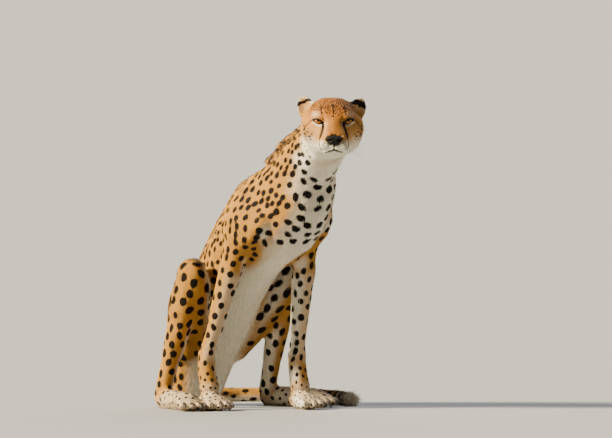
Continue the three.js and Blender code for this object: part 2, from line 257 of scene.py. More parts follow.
FORELEGS = {
    "right": {"blade": (34, -56, 556), "elbow": (-8, -98, 384), "wrist": (-92, -126, 128), "heading": -4},
    "left": {"blade": (44, 64, 556), "elbow": (38, 78, 386), "wrist": (-20, 94, 128), "heading": 6},
}
CREST = [[SPINE[place][axis] for place in ("withers", "neck", "nape")] for axis in (0, 1)]
CREST_HALF_WIDTH = 44  # of the darkest part of the mane, millimetres
CREST_SHIFT = 17  # of the mane's middle to the animal's right, the way the neck is turned, millimetres
HINDLEGS = {
    side: {"hip": (-258, 62 * way, 176), "knee": (-130, 140 * way, 330), "hock": (-226, 156 * way, 62),
           "toes": (-32, 201 * way, 22)}
    for side, way in SIDES.items()
}
TOES = [(-27, 58), (-10, 69), (9, 69), (26, 58)]  # left of the paw's line, and the reach of the tip
CLAW_STEPS = [(-4, 1.06, 18), (5.4, 1.08, 15.4), (9, 1.1, 8.2)]  # past the toe's tip, spread, height
FORE_PAW_AHEAD = 16  # from the wrist to the forepaw's ankle
HIND_PAW_BEHIND = 62  # from the hind toes back to the ankle
HIND_PAW_INWARD = 8
HIND_PAW_HEADING = 7  # degrees outwards
PASTERN_STEP = (14, 0, -76)  # from the wrist to the top of the forepaw
HOCK_STEP = (0, 0, -14)  # from the hock to the shank's end
HEEL_STEP = (-10, 0, -32)  # from the hock to the heel


def paw_place(ankle, heading, along, left, up):
    """A place in a paw, along its heading, to its left and up, in the layout."""
    angle = math.radians(heading)
    return (ankle[0] + along * math.cos(angle) - left * math.sin(angle),
            ankle[1] + along * math.sin(angle) + left * math.cos(angle), up)


def add_leg(leg, side, **bones):
    """The bones of a leg, each named as its coat, from their starts and ends in the layout."""
    for name, (start, end) in bones.items():
        add_bone(f"{name}_{side}", f"{leg}_{side}", from_layout(start), from_layout(end), name)


PAWS = {}  # the ankle over each paw and the way it points, degrees
for side, leg in FORELEGS.items():
    blade, elbow, wrist = (np.array(leg[key], float) for key in ("blade", "elbow", "wrist"))
    ankle = (wrist[0] + FORE_PAW_AHEAD, wrist[1])
    PAWS[f"fore_{side}"] = (ankle, leg["heading"])
    top = wrist + PASTERN_STEP
    toe_end = paw_place(ankle, leg["heading"], 58, 0, 18)
    add_leg("foreleg", side, upper_arm=(blade, elbow), forearm=(elbow, wrist), pastern=(wrist, top),
            paw=(top, toe_end))
for side, leg in HINDLEGS.items():
    way = SIDES[side]
    hip, knee, hock, toes = (np.array(leg[key], float) for key in ("hip", "knee", "hock", "toes"))
    ankle = (toes[0] - HIND_PAW_BEHIND, toes[1] - way * HIND_PAW_INWARD)
    PAWS[f"hind_{side}"] = (ankle, HIND_PAW_HEADING * way)
    add_leg("hindleg", side, thigh=(hip, knee), shank=(knee, hock + HOCK_STEP), heel=(hock + HEEL_STEP, toes))

BONE_NAMES = list(BONES)
PIECES = ["head", "neck", "chest", "flank", "rump", "tail", "foreleg_left", "foreleg_right",
          "hindleg_left", "hindleg_right"]
BLEND_REACH = 9 * MM  # over which one bone's coat goes over into the next one's


def bone_weights(points):
    """How much each bone counts at each point: points by bones, each row adding to 1."""
    excess = np.empty((len(points), len(BONES)))
    for column, (_, start, end, coat) in enumerate(BONES.values()):
        reach, _ = on_segment(points, start, end)
        excess[:, column] = reach - coat[0] * MM
    excess -= excess.min(axis=1, keepdims=True)
    weights = np.exp(-excess / BLEND_REACH)
    return weights / weights.sum(axis=1, keepdims=True)


def share_of(weights, *names):
    """How much the bones whose names start with these count at each point."""
    return sum(weights[:, column] for column, name in enumerate(BONE_NAMES) if name.startswith(names))


# ---- Face: shapes and lines in the head's frame (y across, z up), drawn for the left side ----
LID_INNER = (26.6, -3.4)
LID_OUTER = (48.8, 4.2)
LID_TOP = 4.8
LID_BOTTOM = -5.0
LID_POINTS = 14
LID_OUT = 1.5  # how far the lids stand off the eyeball
LEAST_OUT = 0.9  # how far any skin beside the opening does
OPENING_IN = 1.6  # how far inside the eyeball's surface the skin lies in the opening


def lid_curve(height):
    """Points of a lid's edge from the inner to the outer corner, with its middle at the height."""
    (inner_y, inner_z), (outer_y, outer_z) = LID_INNER, LID_OUTER
    t = np.linspace(0, 1, LID_POINTS)[:, None]
    pull = np.array([(inner_y + outer_y) / 2, 2 * height - (inner_z + outer_z) / 2])
    return (1 - t) ** 2 * np.array(LID_INNER) + 2 * t * (1 - t) * pull + t ** 2 * np.array(LID_OUTER)


UPPER_LID = lid_curve(LID_TOP)
LOWER_LID = lid_curve(LID_BOTTOM)
ALMOND = np.vstack([UPPER_LID, LOWER_LID[::-1][1:]])
TEAR_FROM_AHEAD = [
    # y and z from the eye's inner corner to the corner of the mouth
    (25.4, -2.5), (25.6, -9), (27, -17), (30, -26), (33, -34), (35.5, -41), (37, -48), (36.8, -55),
    (35.5, -62), (32.5, -68),
]
TEAR_HALF_WIDTHS = [3.9, 3.4, 3.3, 3.5, 3.7, 3.6, 2.8]  # at even shares of its length
EYE_TAIL = [(51, 4), (57, -1), (64, -9), (70, -19)]
BROW_STREAKS = [[(-1.5, 41), (0.5, 22), (0.5, 6)], [(27.5, 38), (29, 28), (29.5, 15)]]
MOUTH_FROM_AHEAD = [(0, -68), (9, -70.5), (16, -73), (20.5, -75.5)]  # y and z of the lips' line
MOUTH_FROM_SIDE = [(62, -78.5), (50, -80), (38, -78), (28, -74)]  # x and z of it further back
PHILTRUM = [(0, -54), (0, -68)]
WHISKER_ROWS = [(70, 24, -52), (68, 27, -57), (66, 29, -62), (63, 31, -67)]  # the first root of each row
WHISKERS_IN_ROW = 4
WHISKER_STEP = (-6.0, 1.6, 0.8)  # from one root to the next in a row
# y and z along the ears' dark band: the black of the ears' backs, with painted shade of the ears' hollows
EAR_BAND_AND_SHADE = [(43, 48.5), (60, 45), (85, 34)]
CHEEK_SPOTS = [
    # y, z and radius
    (70, -20.5, 1.7), (68, -31.3, 2.2), (57, -36.6, 2.0), (76, -34.5, 2.0), (69.5, -49.5, 2.1),
    (63, -43.5, 1.9), (61, -25.5, 1.4), (64, -36, 1.2), (52.5, -31, 1.1), (54, -43.5, 1.3), (70, -11, 1.3),
    (77, -24, 1.4), (75, -43, 1.5), (60, -54, 1.4), (62, -17, 1.0), (66, -25, 0.9), (58, -49, 1.0),
]


def almond_distance(y, z):
    """Signed distance from the lids' opening, below zero inside, and the nearest place on its edge."""
    points = np.column_stack([y, z])
    distance = np.full(len(points), 1e9)
    nearest = np.zeros_like(points)
    for start, end in zip(ALMOND[:-1], ALMOND[1:]):
        reach, along = on_segment(points, start, end)
        nearer = reach < distance
        distance[nearer] = reach[nearer]
        nearest[nearer] = start + along[nearer, None] * (end - start)
    top = np.interp(y, UPPER_LID[:, 0], UPPER_LID[:, 1], left=-99, right=-99)
    bottom = np.interp(y, LOWER_LID[:, 0], LOWER_LID[:, 1], left=99, right=99)
    return np.where((z < top) & (z > bottom), -distance, distance), nearest


def ball_front(y, z, radius):
    """Height in x of a ball of this radius round the eye's centre, or 0 beside it."""
    centre = EYE_CENTRE / MM
    rest = radius ** 2 - (y - centre[1]) ** 2 - (z - centre[2]) ** 2
    return np.where(rest > 0, centre[0] + np.sqrt(np.maximum(rest, 0)), 0)


# ---- Mesh helpers ----
def link(name, mesh):
    obj = bpy.data.objects.new(name, mesh)
    bpy.context.scene.collection.objects.link(obj)
    return obj


def only(obj, *others):
    """Makes obj the active object, and selects it and the others alone."""
    bpy.ops.object.select_all(action="DESELECT")
    for one in (obj, *others):
        one.select_set(True)
    bpy.context.view_layer.objects.active = obj


def apply_modifier(obj, kind, **values):
    modifier = obj.modifiers.new(kind.title(), kind)
    for key, value in values.items():
        setattr(modifier, key, value)
    only(obj)
    bpy.ops.object.modifier_apply(modifier=modifier.name)


@contextmanager
def changed(mesh):
    """The mesh opened for changes, and written back after them."""
    bm = bmesh.new()
    bm.from_mesh(mesh)
    bm.verts.ensure_lookup_table()
    yield bm
    bm.to_mesh(mesh)
    bm.free()


def rows(items, key, width, kind=float):
    """What the items hold under the key, one row of width numbers for each."""
    values = np.empty(len(items) * width, dtype=kind)
    items.foreach_get(key, values)
    return values.reshape(-1, width)


def coordinates(mesh):
    return rows(mesh.vertices, "co", 3)


def vertex_normals(mesh):
    return rows(mesh.vertex_normals, "vector", 3)


def edges_of(mesh):
    return rows(mesh.edges, "vertices", 2, np.int64)


def set_coordinates(mesh, points):
    mesh.vertices.foreach_set("co", np.ascontiguousarray(points, dtype=np.float32).ravel())
    mesh.update()


def neighbour_mean(values, edges, count):
    """The mean of each row's neighbours along the edges."""
    ends = np.concatenate([edges[:, 0], edges[:, 1]])
    others = np.concatenate([edges[:, 1], edges[:, 0]])
    degree = np.maximum(np.bincount(ends, minlength=count), 1)
    columns = [np.bincount(ends, weights=values[others, k], minlength=count) for k in range(values.shape[1])]
    return np.column_stack(columns) / degree[:, None]


def relax(points, edges, rounds, strength):
    """Smooths a surface with little shrinking. strength is one number for each point, up to 1."""
    for _ in range(rounds):
        for step in (0.55, -0.56):
            mean = neighbour_mean(points, edges, len(points))
            points = points + (mean - points) * (step * strength)[:, None]
    return points


def soften(values, edges, rounds):
    """Averages a field of numbers over its neighbours."""
    flat = values.reshape(len(values), -1)
    for _ in range(rounds):
        flat = 0.5 * flat + 0.5 * neighbour_mean(flat, edges, len(flat))
    return flat.reshape(values.shape)


def store(mesh, name, values):
    """Writes one number for each vertex under the name."""
    attribute = mesh.attributes.new(name, "FLOAT", "POINT")
    attribute.data.foreach_set("value", np.ascontiguousarray(values, dtype=np.float32))


def largest_island(obj):
    """Deletes loose scraps: all but the biggest connected part of the mesh."""
    mesh = obj.data
    label = np.arange(len(mesh.vertices))
    edges = edges_of(mesh)
    while True:
        low = np.minimum(label[edges[:, 0]], label[edges[:, 1]])
        new = label.copy()
        np.minimum.at(new, edges[:, 0], low)
        np.minimum.at(new, edges[:, 1], low)
        new = new[new]
        if np.array_equal(new, label):
            break
        label = new
    names, counts = np.unique(label, return_counts=True)
    scraps = np.flatnonzero(label != names[counts.argmax()])
    if len(scraps):
        with changed(mesh) as bm:
            bmesh.ops.delete(bm, geom=[bm.verts[i] for i in scraps], context="VERTS")


def finish_piece(obj, slot, material, *replaced):
    """Gives a piece its material, parents it to the root and hides the solids that it replaces. slot is not
    used.
    """
    obj.data.materials.clear()
    obj.data.materials.append(material)
    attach(obj, "root")
    if replaced:
        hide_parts(*replaced)


# ---- Materials ----
PUPIL_TINT = (0.004, 0.003, 0.003)
IRIS_RIM = (0.012, 0.006, 0.003)
EYE_WHITE = [(0.42, 0.33, 0.25), (0.16, 0.10, 0.07)]  # between which its flecks vary
WHISKER_TINTS = [(0.80, 0.76, 0.68), (0.62, 0.55, 0.44)]


class Nodes:
    """A material's nodes, added and joined by name."""

    def __init__(self, name):
        self.material = bpy.data.materials.new(name)
        self.material.use_nodes = True
        self.tree = self.material.node_tree
        self.shader = self.tree.nodes["Principled BSDF"]

    def add(self, kind, inputs=None, **values):
        node = self.tree.nodes.new("ShaderNode" + kind)
        for key, value in values.items():
            setattr(node, key, value)
        for key, value in (inputs or {}).items():
            if isinstance(value, bpy.types.NodeSocket):
                self.tree.links.new(value, node.inputs[key])
            else:
                node.inputs[key].default_value = value
        return node

    def attribute(self, name):
        return self.add("Attribute", attribute_name=name).outputs["Fac"]

    def place(self):
        return self.add("TexCoord").outputs["Object"]

    def noise(self, scale, detail=2.0, roughness=0.5):
        inputs = {"Vector": self.place(), "Scale": scale, "Detail": detail, "Roughness": roughness}
        return self.add("TexNoise", inputs).outputs["Fac"]

    def span(self, value, low, high, to_low=0.0, to_high=1.0, smooth_step=False):
        """Stretches the range from low to high on to another one."""
        inputs = {"Value": value, "From Min": low, "From Max": high, "To Min": to_low, "To Max": to_high}
        kind = "SMOOTHSTEP" if smooth_step else "LINEAR"
        return self.add("MapRange", inputs, interpolation_type=kind).outputs["Result"]

    def math(self, operation, a, b=0.0):
        return self.add("Math", {0: a, 1: b}, operation=operation).outputs[0]

    def vector(self, operation, inputs, output):
        return self.add("VectorMath", inputs, operation=operation).outputs[output]

    def shaded(self, tint, shade):
        """The tint, multiplied by the shade."""
        grey = self.add("CombineColor", {"Red": shade, "Green": shade, "Blue": shade}).outputs["Color"]
        return self.blend(1.0, tint, grey, "MULTIPLY")

    def blend(self, weight, a, b, mode="MIX"):
        node = self.add("Mix", data_type="RGBA", blend_type=mode)
        for socket, value in zip((node.inputs[0], node.inputs[6], node.inputs[7]), (weight, a, b)):
            if isinstance(value, bpy.types.NodeSocket):
                self.tree.links.new(value, socket)
            elif isinstance(value, float):
                socket.default_value = value
            else:
                socket.default_value = (*value[:3], 1.0)
        return node.outputs[2]

    def bump(self, height, strength, distance, normal=None):
        inputs = {"Height": height, "Strength": strength, "Distance": distance}
        if normal is not None:
            inputs["Normal"] = normal
        return self.add("Bump", inputs).outputs["Normal"]

    def wire(self, output, name):
        self.tree.links.new(output, self.shader.inputs[name])

    def set(self, **values):
        for key, value in values.items():
            self.shader.inputs[key.replace("_", " ")].default_value = value
        return self.material


def times(factor, tint):
    """The tint with every part multiplied."""
    return tuple(factor * part for part in tint)


def coat_material(name, tufts):
    """Fur colour from gold by the fields rust, cream, dusk and spot, the same on skin and tufts."""
    paint = colours()
    nodes = Nodes(name)
    gold = nodes.blend(nodes.attribute("rust"), paint.gold, paint.rust)
    drift = nodes.span(nodes.noise(11.0, 3.0), 0.3, 0.7)
    gold = nodes.blend(nodes.math("MULTIPLY", drift, 0.10), gold, paint.rust)
    base = nodes.blend(nodes.attribute("cream"), gold, paint.cream)
    base = nodes.blend(nodes.attribute("dusk"), base, paint.dusk)
    spot = nodes.attribute("spot")
    if not tufts:
        ragged = nodes.span(nodes.noise(900.0, 1.0), 0.0, 1.0, -1.1, 1.1)
        spot = nodes.math("ADD", spot, ragged)
    mark = nodes.span(spot, -0.55, 0.55, 1.0, 0.0, smooth_step=True)
    coat = nodes.blend(mark, base, paint.spot)
    if tufts:
        lock = nodes.span(nodes.attribute("lock"), 0.0, 1.0, 0.78, 1.2)
        tip = nodes.span(nodes.attribute("along"), 0.0, 1.0, 0.86, 1.1)
        shade = nodes.math("MULTIPLY", lock, tip)
    else:
        shade = nodes.span(nodes.noise(1500.0, 2.0), 0.25, 0.75, 0.62, 0.95)
    nodes.wire(nodes.shaded(coat, shade), "Base Color")
    rough = nodes.span(nodes.noise(240.0, 2.0), 0.3, 0.7, 0.62, 0.80)
    nodes.wire(rough, "Roughness")
    if not tufts:
        fine = nodes.noise(1300.0, 3.0, 0.6)
        broad = nodes.noise(210.0, 2.0)
        normal = nodes.bump(broad, 0.5, 0.0012)
        nodes.wire(nodes.bump(fine, 0.7, 0.0006, normal), "Normal")
    return nodes.set(Sheen_Weight=0.02, Sheen_Roughness=0.4, Specular_IOR_Level=0.14)


def eye_material(side):
    """Pupil, streaked amber iris with a dark ring, and the brownish white, by angle round the gaze."""
    paint = colours()
    setting = sizes()
    nodes = Nodes(f"cheetah_eye_{side}")
    centre, gaze = eye_centre(SIDES[side]), gaze_of(SIDES[side])
    offset = nodes.vector("SUBTRACT", {0: nodes.place(), 1: tuple(centre)}, "Vector")
    facing = nodes.vector("DOT_PRODUCT", {0: offset, 1: tuple(gaze)}, "Value")
    length = nodes.vector("LENGTH", {0: offset}, "Value")
    angle = nodes.math("ARCCOSINE", nodes.math("MINIMUM", nodes.math("DIVIDE", facing, length), 0.99999))
    pupil = math.asin(setting.pupil / EYE_RADIUS)
    iris = math.asin(setting.iris / EYE_RADIUS)
    streaks = nodes.noise(700.0, 3.0, 0.6)
    flecks = nodes.noise(260.0, 2.0)
    ramp = nodes.add("ValToRGB")
    amber = tuple(paint.iris)
    stops = [
        # share of the way from the pupil to the iris's edge, and the colour there
        (0.0, times(0.30, amber)), (0.25, times(1.15, amber)),
        (0.62, (amber[0] * 1.25, amber[1] * 1.75, amber[2] * 2.0)), (0.88, times(0.55, amber)),
        (1.0, IRIS_RIM),
    ]
    while len(ramp.color_ramp.elements) < len(stops):
        ramp.color_ramp.elements.new(0.5)
    for element, (position, shade) in zip(ramp.color_ramp.elements, stops):
        element.position = position
        element.color = (*shade, 1.0)
    nodes.tree.links.new(nodes.span(angle, pupil, iris), ramp.inputs["Fac"])
    ring = nodes.shaded(ramp.outputs["Color"], nodes.span(streaks, 0.35, 0.65, 0.72, 1.12))
    white = nodes.blend(nodes.span(flecks, 0.3, 0.7), *EYE_WHITE)
    outside = nodes.span(angle, iris, iris + 0.05, smooth_step=True)
    ball = nodes.blend(outside, ring, white)
    inside = nodes.span(angle, pupil - 0.015, pupil + 0.015, 1.0, 0.0, smooth_step=True)
    nodes.wire(nodes.blend(inside, ball, PUPIL_TINT), "Base Color")
    nodes.wire(nodes.bump(streaks, 0.12, 0.0002), "Normal")
    return nodes.set(Roughness=0.3, Specular_IOR_Level=0.2, Coat_Weight=0.7, Coat_Roughness=0.04,
                     Coat_IOR=1.38)


def leather_material(name, pebble, relief):
    """Bare black skin with fine pebbles. pebble is their scale and relief how much they stand out."""
    nodes = Nodes(name)
    shade = tuple(colours().nose)
    cells = nodes.add("TexVoronoi", {"Vector": nodes.place(), "Scale": pebble})
    patches = nodes.span(nodes.noise(120.0, 3.0), 0.3, 0.7)
    pale = tuple(min(1.0, 1.6 * c + 0.004) for c in shade)
    nodes.wire(nodes.blend(nodes.math("MULTIPLY", patches, 0.5), shade, pale), "Base Color")
    nodes.wire(nodes.bump(cells.outputs["Distance"], relief, 0.0006), "Normal")
    nodes.wire(nodes.span(nodes.noise(400.0, 2.0), 0.3, 0.7, 0.50, 0.68), "Roughness")
    return nodes.set(Specular_IOR_Level=0.16)


def claw_material():
    """Dark horn with a paler grain and a little gloss."""
    nodes = Nodes("cheetah_claw")
    shade = tuple(colours().claw)
    grain = nodes.span(nodes.noise(420.0, 3.0), 0.35, 0.65)
    nodes.wire(nodes.blend(grain, shade, times(2.2, shade)), "Base Color")
    nodes.wire(nodes.bump(nodes.noise(900.0, 2.0), 0.15, 0.0003), "Normal")
    return nodes.set(Roughness=0.42, Specular_IOR_Level=0.3, Coat_Weight=0.08, Coat_Roughness=0.3)


def whisker_material():
    """White hair, yellower in places."""
    nodes = Nodes("cheetah_whisker")
    tint = nodes.span(nodes.noise(60.0, 1.0), 0.3, 0.7)
    nodes.wire(nodes.blend(tint, *WHISKER_TINTS), "Base Color")
    return nodes.set(Roughness=0.35)


def floor_material():
    """A matt grey floor with a faint drift of tone."""
    nodes = Nodes("studio_floor")
    shade = tuple(colours().floor)
    drift = nodes.span(nodes.noise(1.3, 3.0), 0.3, 0.7)
    nodes.wire(nodes.blend(drift, shade, times(0.96, shade)), "Base Color")
    nodes.wire(nodes.bump(nodes.noise(60.0, 2.0), 0.05, 0.001), "Normal")
    return nodes.set(Roughness=0.8)


# ---- Skin ----
GROW = 0.6 * MM  # by which the solids grow into each other before they are joined
FINE_HEAD = (-72, 112, 96)  # the head's stretch in x and half width that is refined once
FINE_FACE = (18, 60, -98, 26)  # refined a second time ahead of this x, in this half width and stretch in z
TOE_REACH = 52  # the paws are refined this far round the middle of the toes
TOE_GROOVE = (7.4, 3.9)  # depth and half width of the grooves between the toes
SOLE_HEIGHT = 0.3  # of the skin's underside, so that the tufts below it just clear the floor
MUSCLES = [
    # name, place in the layout for the left side, reach, push outwards (millimetres)
    ("shoulder blade's upper edge", (40, 66, 600), 36, 3.4),
    ("hollow behind the blade", (-16, 92, 560), 46, -5.0),
    ("upper arm muscle", (34, 108, 470), 46, 4.6),
    ("hollow ahead of the arm", (76, 96, 480), 34, -4.0),
    ("breast muscle", (116, 46, 470), 44, 4.0),
    ("breast groove", (138, 0, 470), 30, -3.6),
    ("last ribs", (-96, 92, 408), 54, 4.2),
    ("flank hollow", (-160, 86, 356), 42, -6.0),
    ("knee", (-110, 158, 346), 30, 2.4),
    ("thigh muscle", (-214, 146, 240), 56, 3.4),
    ("thigh hollow", (-170, 172, 214), 34, -4.0),
    ("hip point", (-262, 62, 262), 34, 4.4),
    ("calf", (-164, 170, 240), 34, 2.6),
    ("heel tendon hollow", (-212, 156, 110), 26, -4.4),
    ("heel", (-240, 158, 70), 20, 2.6),
]
ARM_MUSCLES = [
    # name, share of the way from elbow to wrist, step from there for the left side, reach, push
    ("elbow point", 0.0, (-26, 4, 6), 26, 4.4),
    ("hollow above the elbow", -0.12, (-16, 16, 0), 28, -3.6),
    ("forearm muscle", 0.2, (12, 14, 0), 36, 2.8),
    ("tendon hollow", 0.72, (-18, 10, 0), 36, -2.6),
    ("wrist pad", 1.0, (-22, 2, -4), 15, 3.6),
    ("wrist bone", 0.98, (14, 10, 0), 18, 2.0),
]
NAMED_PUSHES = [
    # name, place in the head's frame for the left side, reach, move (millimetres)
    ("brow ridge", (40, 35, 14), 16, (3.2, 0.4, 1.2)),
    ("socket's inner hollow", (41, 23, -9), 11, (-2.4, 0, 0)),
    ("cheekbone below the eye", (30, 50, -17), 17, (1.8, 1.0, -0.4)),
    ("temple", (0, 62, 16), 26, (0, -2.4, 0)),
    ("whisker pad", (70, 20, -60), 18, (3.6, 3.4, 0.4)),
    ("side of the muzzle", (54, 33, -46), 17, (0, -2.4, 0)),
    ("chin", (74, 0, -86), 18, (3.0, 0, -0.8)),
    ("hollow below the lip", (74, 15, -79), 8, (-1.6, 0, 0.6)),
    ("bridge's flat", (60, 8, -24), 14, (1.2, 0.6, 0.8)),
    ("stop between the eyes", (46, 0, 4), 20, (-1.8, 0, 0)),
    ("skin above the nose pad", (69, 9, -37), 12, (4.5, 0, 0)),
]


def flesh_copy(name):
    """A closed copy of a solid, a little larger so that it meets its neighbours. An ear's cup is filled."""
    obj = link("flesh_" + name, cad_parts[name].data.copy())
    with changed(obj.data) as bm:
        bmesh.ops.remove_doubles(bm, verts=bm.verts[:], dist=0.02 * MM)
        if name.startswith("ear_"):
            hull = bmesh.ops.convex_hull(bm, input=bm.verts[:])
            outside = set(hull["geom"])
            old = [face for face in bm.faces if face not in outside]
            bmesh.ops.delete(bm, geom=old, context="FACES_ONLY")
            loose = [vertex for vertex in bm.verts if not vertex.link_faces]
            bmesh.ops.delete(bm, geom=loose, context="VERTS")
            bmesh.ops.recalc_face_normals(bm, faces=bm.faces[:])
        bm.normal_update()
        for vertex in bm.verts:
            vertex.co += vertex.normal * GROW
    return obj


def joined_flesh():
    """All the flesh as one closed mesh of even cells."""
    copies = [flesh_copy(name) for name in FLESH + ["eye_left", "eye_right"]]
    only(*copies)
    bpy.ops.object.join()
    skin = bpy.context.view_layer.objects.active
    skin.name = skin.data.name = "skin"
    apply_modifier(skin, "REMESH", mode="VOXEL", voxel_size=sizes().voxel, use_smooth_shade=True)
    largest_island(skin)
    return skin


def refine(mesh, chosen):
    """Halves the edges among the chosen vertices."""
    with changed(mesh) as bm:
        edges = [e for e in bm.edges if chosen[e.verts[0].index] and chosen[e.verts[1].index]]
        bmesh.ops.subdivide_edges(bm, edges=edges, cuts=1, use_grid_fill=True)
        bmesh.ops.triangulate(bm, faces=[f for f in bm.faces if len(f.verts) > 4])


def head_share(points):
    """1 on the head and ears, 0 on the neck and body."""
    local = to_head(points)
    low = smooth(-88, -60, local[:, 0] + 0.25 * local[:, 2])
    return low * (np.abs(local[:, 1]) < 110) * (local[:, 2] > -112) * (local[:, 2] < 90)


def pushed(points, side_pushes):
    """Moves points in the head's frame by the named pushes, on both sides."""
    start = points.copy()
    for _, place, reach, move in side_pushes:
        for way in ((1, -1) if place[1] else (1,)):
            at = np.array(place, float) * (1, way, 1)
            weight = smooth(0, 1, 1 - np.linalg.norm(start - at, axis=1) / reach)
            points = points + weight[:, None] * (np.array(move, float) * (1, way, 1))
    return points


def shape_lids(local):
    """Cuts the almond openings back behind the eyeballs and lays the lids over the balls."""
    radius = EYE_RADIUS / MM
    for way in (1, -1):
        side = (local[:, 1] * way > 8) & (local[:, 0] > 12)
        x, y, z = local[side, 0], local[side, 1] * way, local[side, 2]
        distance, edge = almond_distance(y, z)
        snap = 1 - smooth(0.5, 1.1, np.abs(distance))
        y = mix(y, edge[:, 0], snap)
        z = mix(z, edge[:, 1], snap)
        beside = ball_front(edge[:, 0], edge[:, 1], radius + LID_OUT) - 0.35 * np.maximum(distance, 0)
        lid = np.maximum(ball_front(y, z, radius + LID_OUT), beside)
        over = 1 - smooth(1.0, mix(8.0, 15.0, smooth(30, 22, y)), distance)
        x = mix(x, lid, over * 0.92)
        x = np.maximum(x, ball_front(y, z, radius + LEAST_OUT))
        crease = bell(distance, 4.8, 1.3) * smooth(-1, 3, z)
        fold = 1.8 * bell(distance, 8.5, 2.6) * smooth(3, 8, z)
        under = bell(distance, 4.2, 1.5) * (z < -4)
        x = x - 1.5 * crease + fold - 0.6 * under
        behind = np.maximum(ball_front(y, z, radius - OPENING_IN), 26)
        x = np.where(distance < -0.35, behind, x)
        local[side] = np.column_stack([x, y * way, z])
    return local


def laid_line(tree, from_ahead, from_side):
    """A line on the left of the face, in the head's frame: places seen from ahead, then from the side."""
    places = [((140, y, z), -HEAD_AXES[0]) for y, z in from_ahead]
    places += [((x, 120, z), -HEAD_AXES[1]) for x, z in from_side]
    hits = [tree.ray_cast(Vector(from_head(place)), Vector(way))[0] for place, way in places]
    return to_head(np.array([hit for hit in hits if hit is not None]))


def face_lines(mesh, local):
    """Distances in millimetres from the lips' line and the groove under the nose, the share of the lips'
    line passed, and the signed distance from the edge of the tear line."""
    tree = BVHTree.FromPolygons(coordinates(mesh).tolist(), [p.vertices[:] for p in mesh.polygons])
    folded = np.column_stack([local[:, 0], np.abs(local[:, 1]), local[:, 2]])
    mouth = laid_line(tree, MOUTH_FROM_AHEAD, MOUTH_FROM_SIDE)
    lips, share = on_line(folded, mouth)
    split, _ = on_line(folded[:, 1:], PHILTRUM)
    split = np.where(local[:, 0] > mouth[0][0] - 12, split, 99.0)
    tear, passed = on_line(folded, laid_line(tree, TEAR_FROM_AHEAD, []))
    tear = tear - np.interp(passed, np.linspace(0, 1, len(TEAR_HALF_WIDTHS)), TEAR_HALF_WIDTHS)
    return lips, split, share, tear


def shape_mouth(local, normals, lips, split, share):
    """Presses in the line between the lips and the groove under the nose."""
    fade = 1 - 0.7 * smooth(0.55, 1.0, share)
    groove = 3.4 * bell(lips, 0, 1.9) * fade + 2.2 * bell(split, 0, 1.5)
    above = smooth(-1, 1, local[:, 2] + 78)
    roll = (0.6 + 1.2 * above) * bell(lips, 4.6, 2.4) * fade
    return local - normals * (groove - roll)[:, None]


EAR_PLACE = np.array([-36.0, 61.0, 24.0])
EAR_SIZE = (17, 29, 39)  # reach forward, sideways and upwards of what counts as the ear
EAR_TILT = math.radians(24)
RIGHT_EAR_RISE = 4.0  # the right ear is held this much higher
EAR_CUP = (19.5, 27.0, 3.0, 10.0)  # half width, half height, rise and depth of the hollow


def ear_frame(way):
    """Rows are the ear's forward, sideways and upward axes in the head's frame."""
    c, s = math.cos(EAR_TILT), math.sin(EAR_TILT) * way
    tilt = np.array([[1, 0, 0], [0, c, s], [0, -s, c]])
    turn = np.array([[c, -s, 0], [s, c, 0], [0, 0, 1]])
    return (turn @ tilt).T


def in_ear(local, way):
    """Places in the ear's own frame of points in the head's frame."""
    rise = RIGHT_EAR_RISE if way < 0 else 0.0
    return (local - EAR_PLACE * (1, way, 1) - (0, 0, rise)) @ ear_frame(way).T


def shape_ears(local):
    """Hollows the front of each ear into a cup."""
    half_width, half_height, rise, depth = EAR_CUP
    for way in (1, -1):
        place = in_ear(local, way)
        radius = np.hypot(place[:, 1] / half_width, (place[:, 2] - rise) / half_height)
        inside = (place[:, 0] > -3) & (radius < 1) & (place[:, 2] > -16)
        push = np.where(inside, depth * (1 - radius ** 2) * smooth(-3, 3, place[:, 0]), 0)
        local = local - push[:, None] * ear_frame(way)[0]
    return local


def near_toes(points):
    """True for points of the front half of a paw."""
    near = np.zeros(len(points), bool)
    for ankle, heading in PAWS.values():
        toes = from_layout(paw_place(ankle, heading, 48, 0, 24))
        near |= np.linalg.norm(points - toes, axis=1) < TOE_REACH * MM
    return near


def shape_paws(points, normals):
    """Presses the grooves between the toes."""
    deep, wide = TOE_GROOVE
    for ankle, heading in PAWS.values():
        for (left_a, tip_a), (left_b, tip_b) in zip(TOES[:-1], TOES[1:]):
            left = (left_a + left_b) / 2
            reach = max(tip_a, tip_b) + 4
            line = [from_layout(paw_place(ankle, heading, along, left * 1.05, up))
                    for along, up in ((26, 44), (44, 38), (reach - 14, 30), (reach, 8))]
            distance, share = on_line(points, line)
            depth = deep * MM * bell(distance, 0, wide * MM) * smooth(0, 0.3, share)
            points = points - normals * depth[:, None]
    return points


def shape_muscles(points, normals):
    """Swells and sinks the named places of the body along the skin's normals."""
    pushes = [
        (np.array(place) * (1, way, 1), reach, push)
        for _, place, reach, push in MUSCLES for way in (1, -1)
    ]
    for side, leg in FORELEGS.items():
        elbow, wrist = np.array(leg["elbow"], float), np.array(leg["wrist"], float)
        for _, share, step, reach, push in ARM_MUSCLES:
            pushes.append((mix(elbow, wrist, share) + np.array(step) * (1, SIDES[side], 1), reach, push))
    for place, reach, push in pushes:
        distance = np.linalg.norm(points - from_layout(place), axis=1)
        weight = smooth(0, 1, 1 - distance / (reach * MM))
        points = points + normals * (weight * push * MM)[:, None]
    return points


def trunk_angle(points, normals):
    """Where a point is round the trunk: 1 on the underside and chest, -1 along the back."""
    best = np.full(len(points), 1e9)
    under = np.zeros((len(points), 3))
    stops = [from_layout(place) for place in SPINE.values()]
    for start, end in zip(stops[:-1], stops[1:]):
        reach, _ = on_segment(points, start, end)
        along = unit(end - start)
        down = unit(np.cross(along, (0.0, 1.0, 0.0)))
        nearer = reach < best
        best[nearer] = reach[nearer]
        under[nearer] = down
    return dot(normals, under)


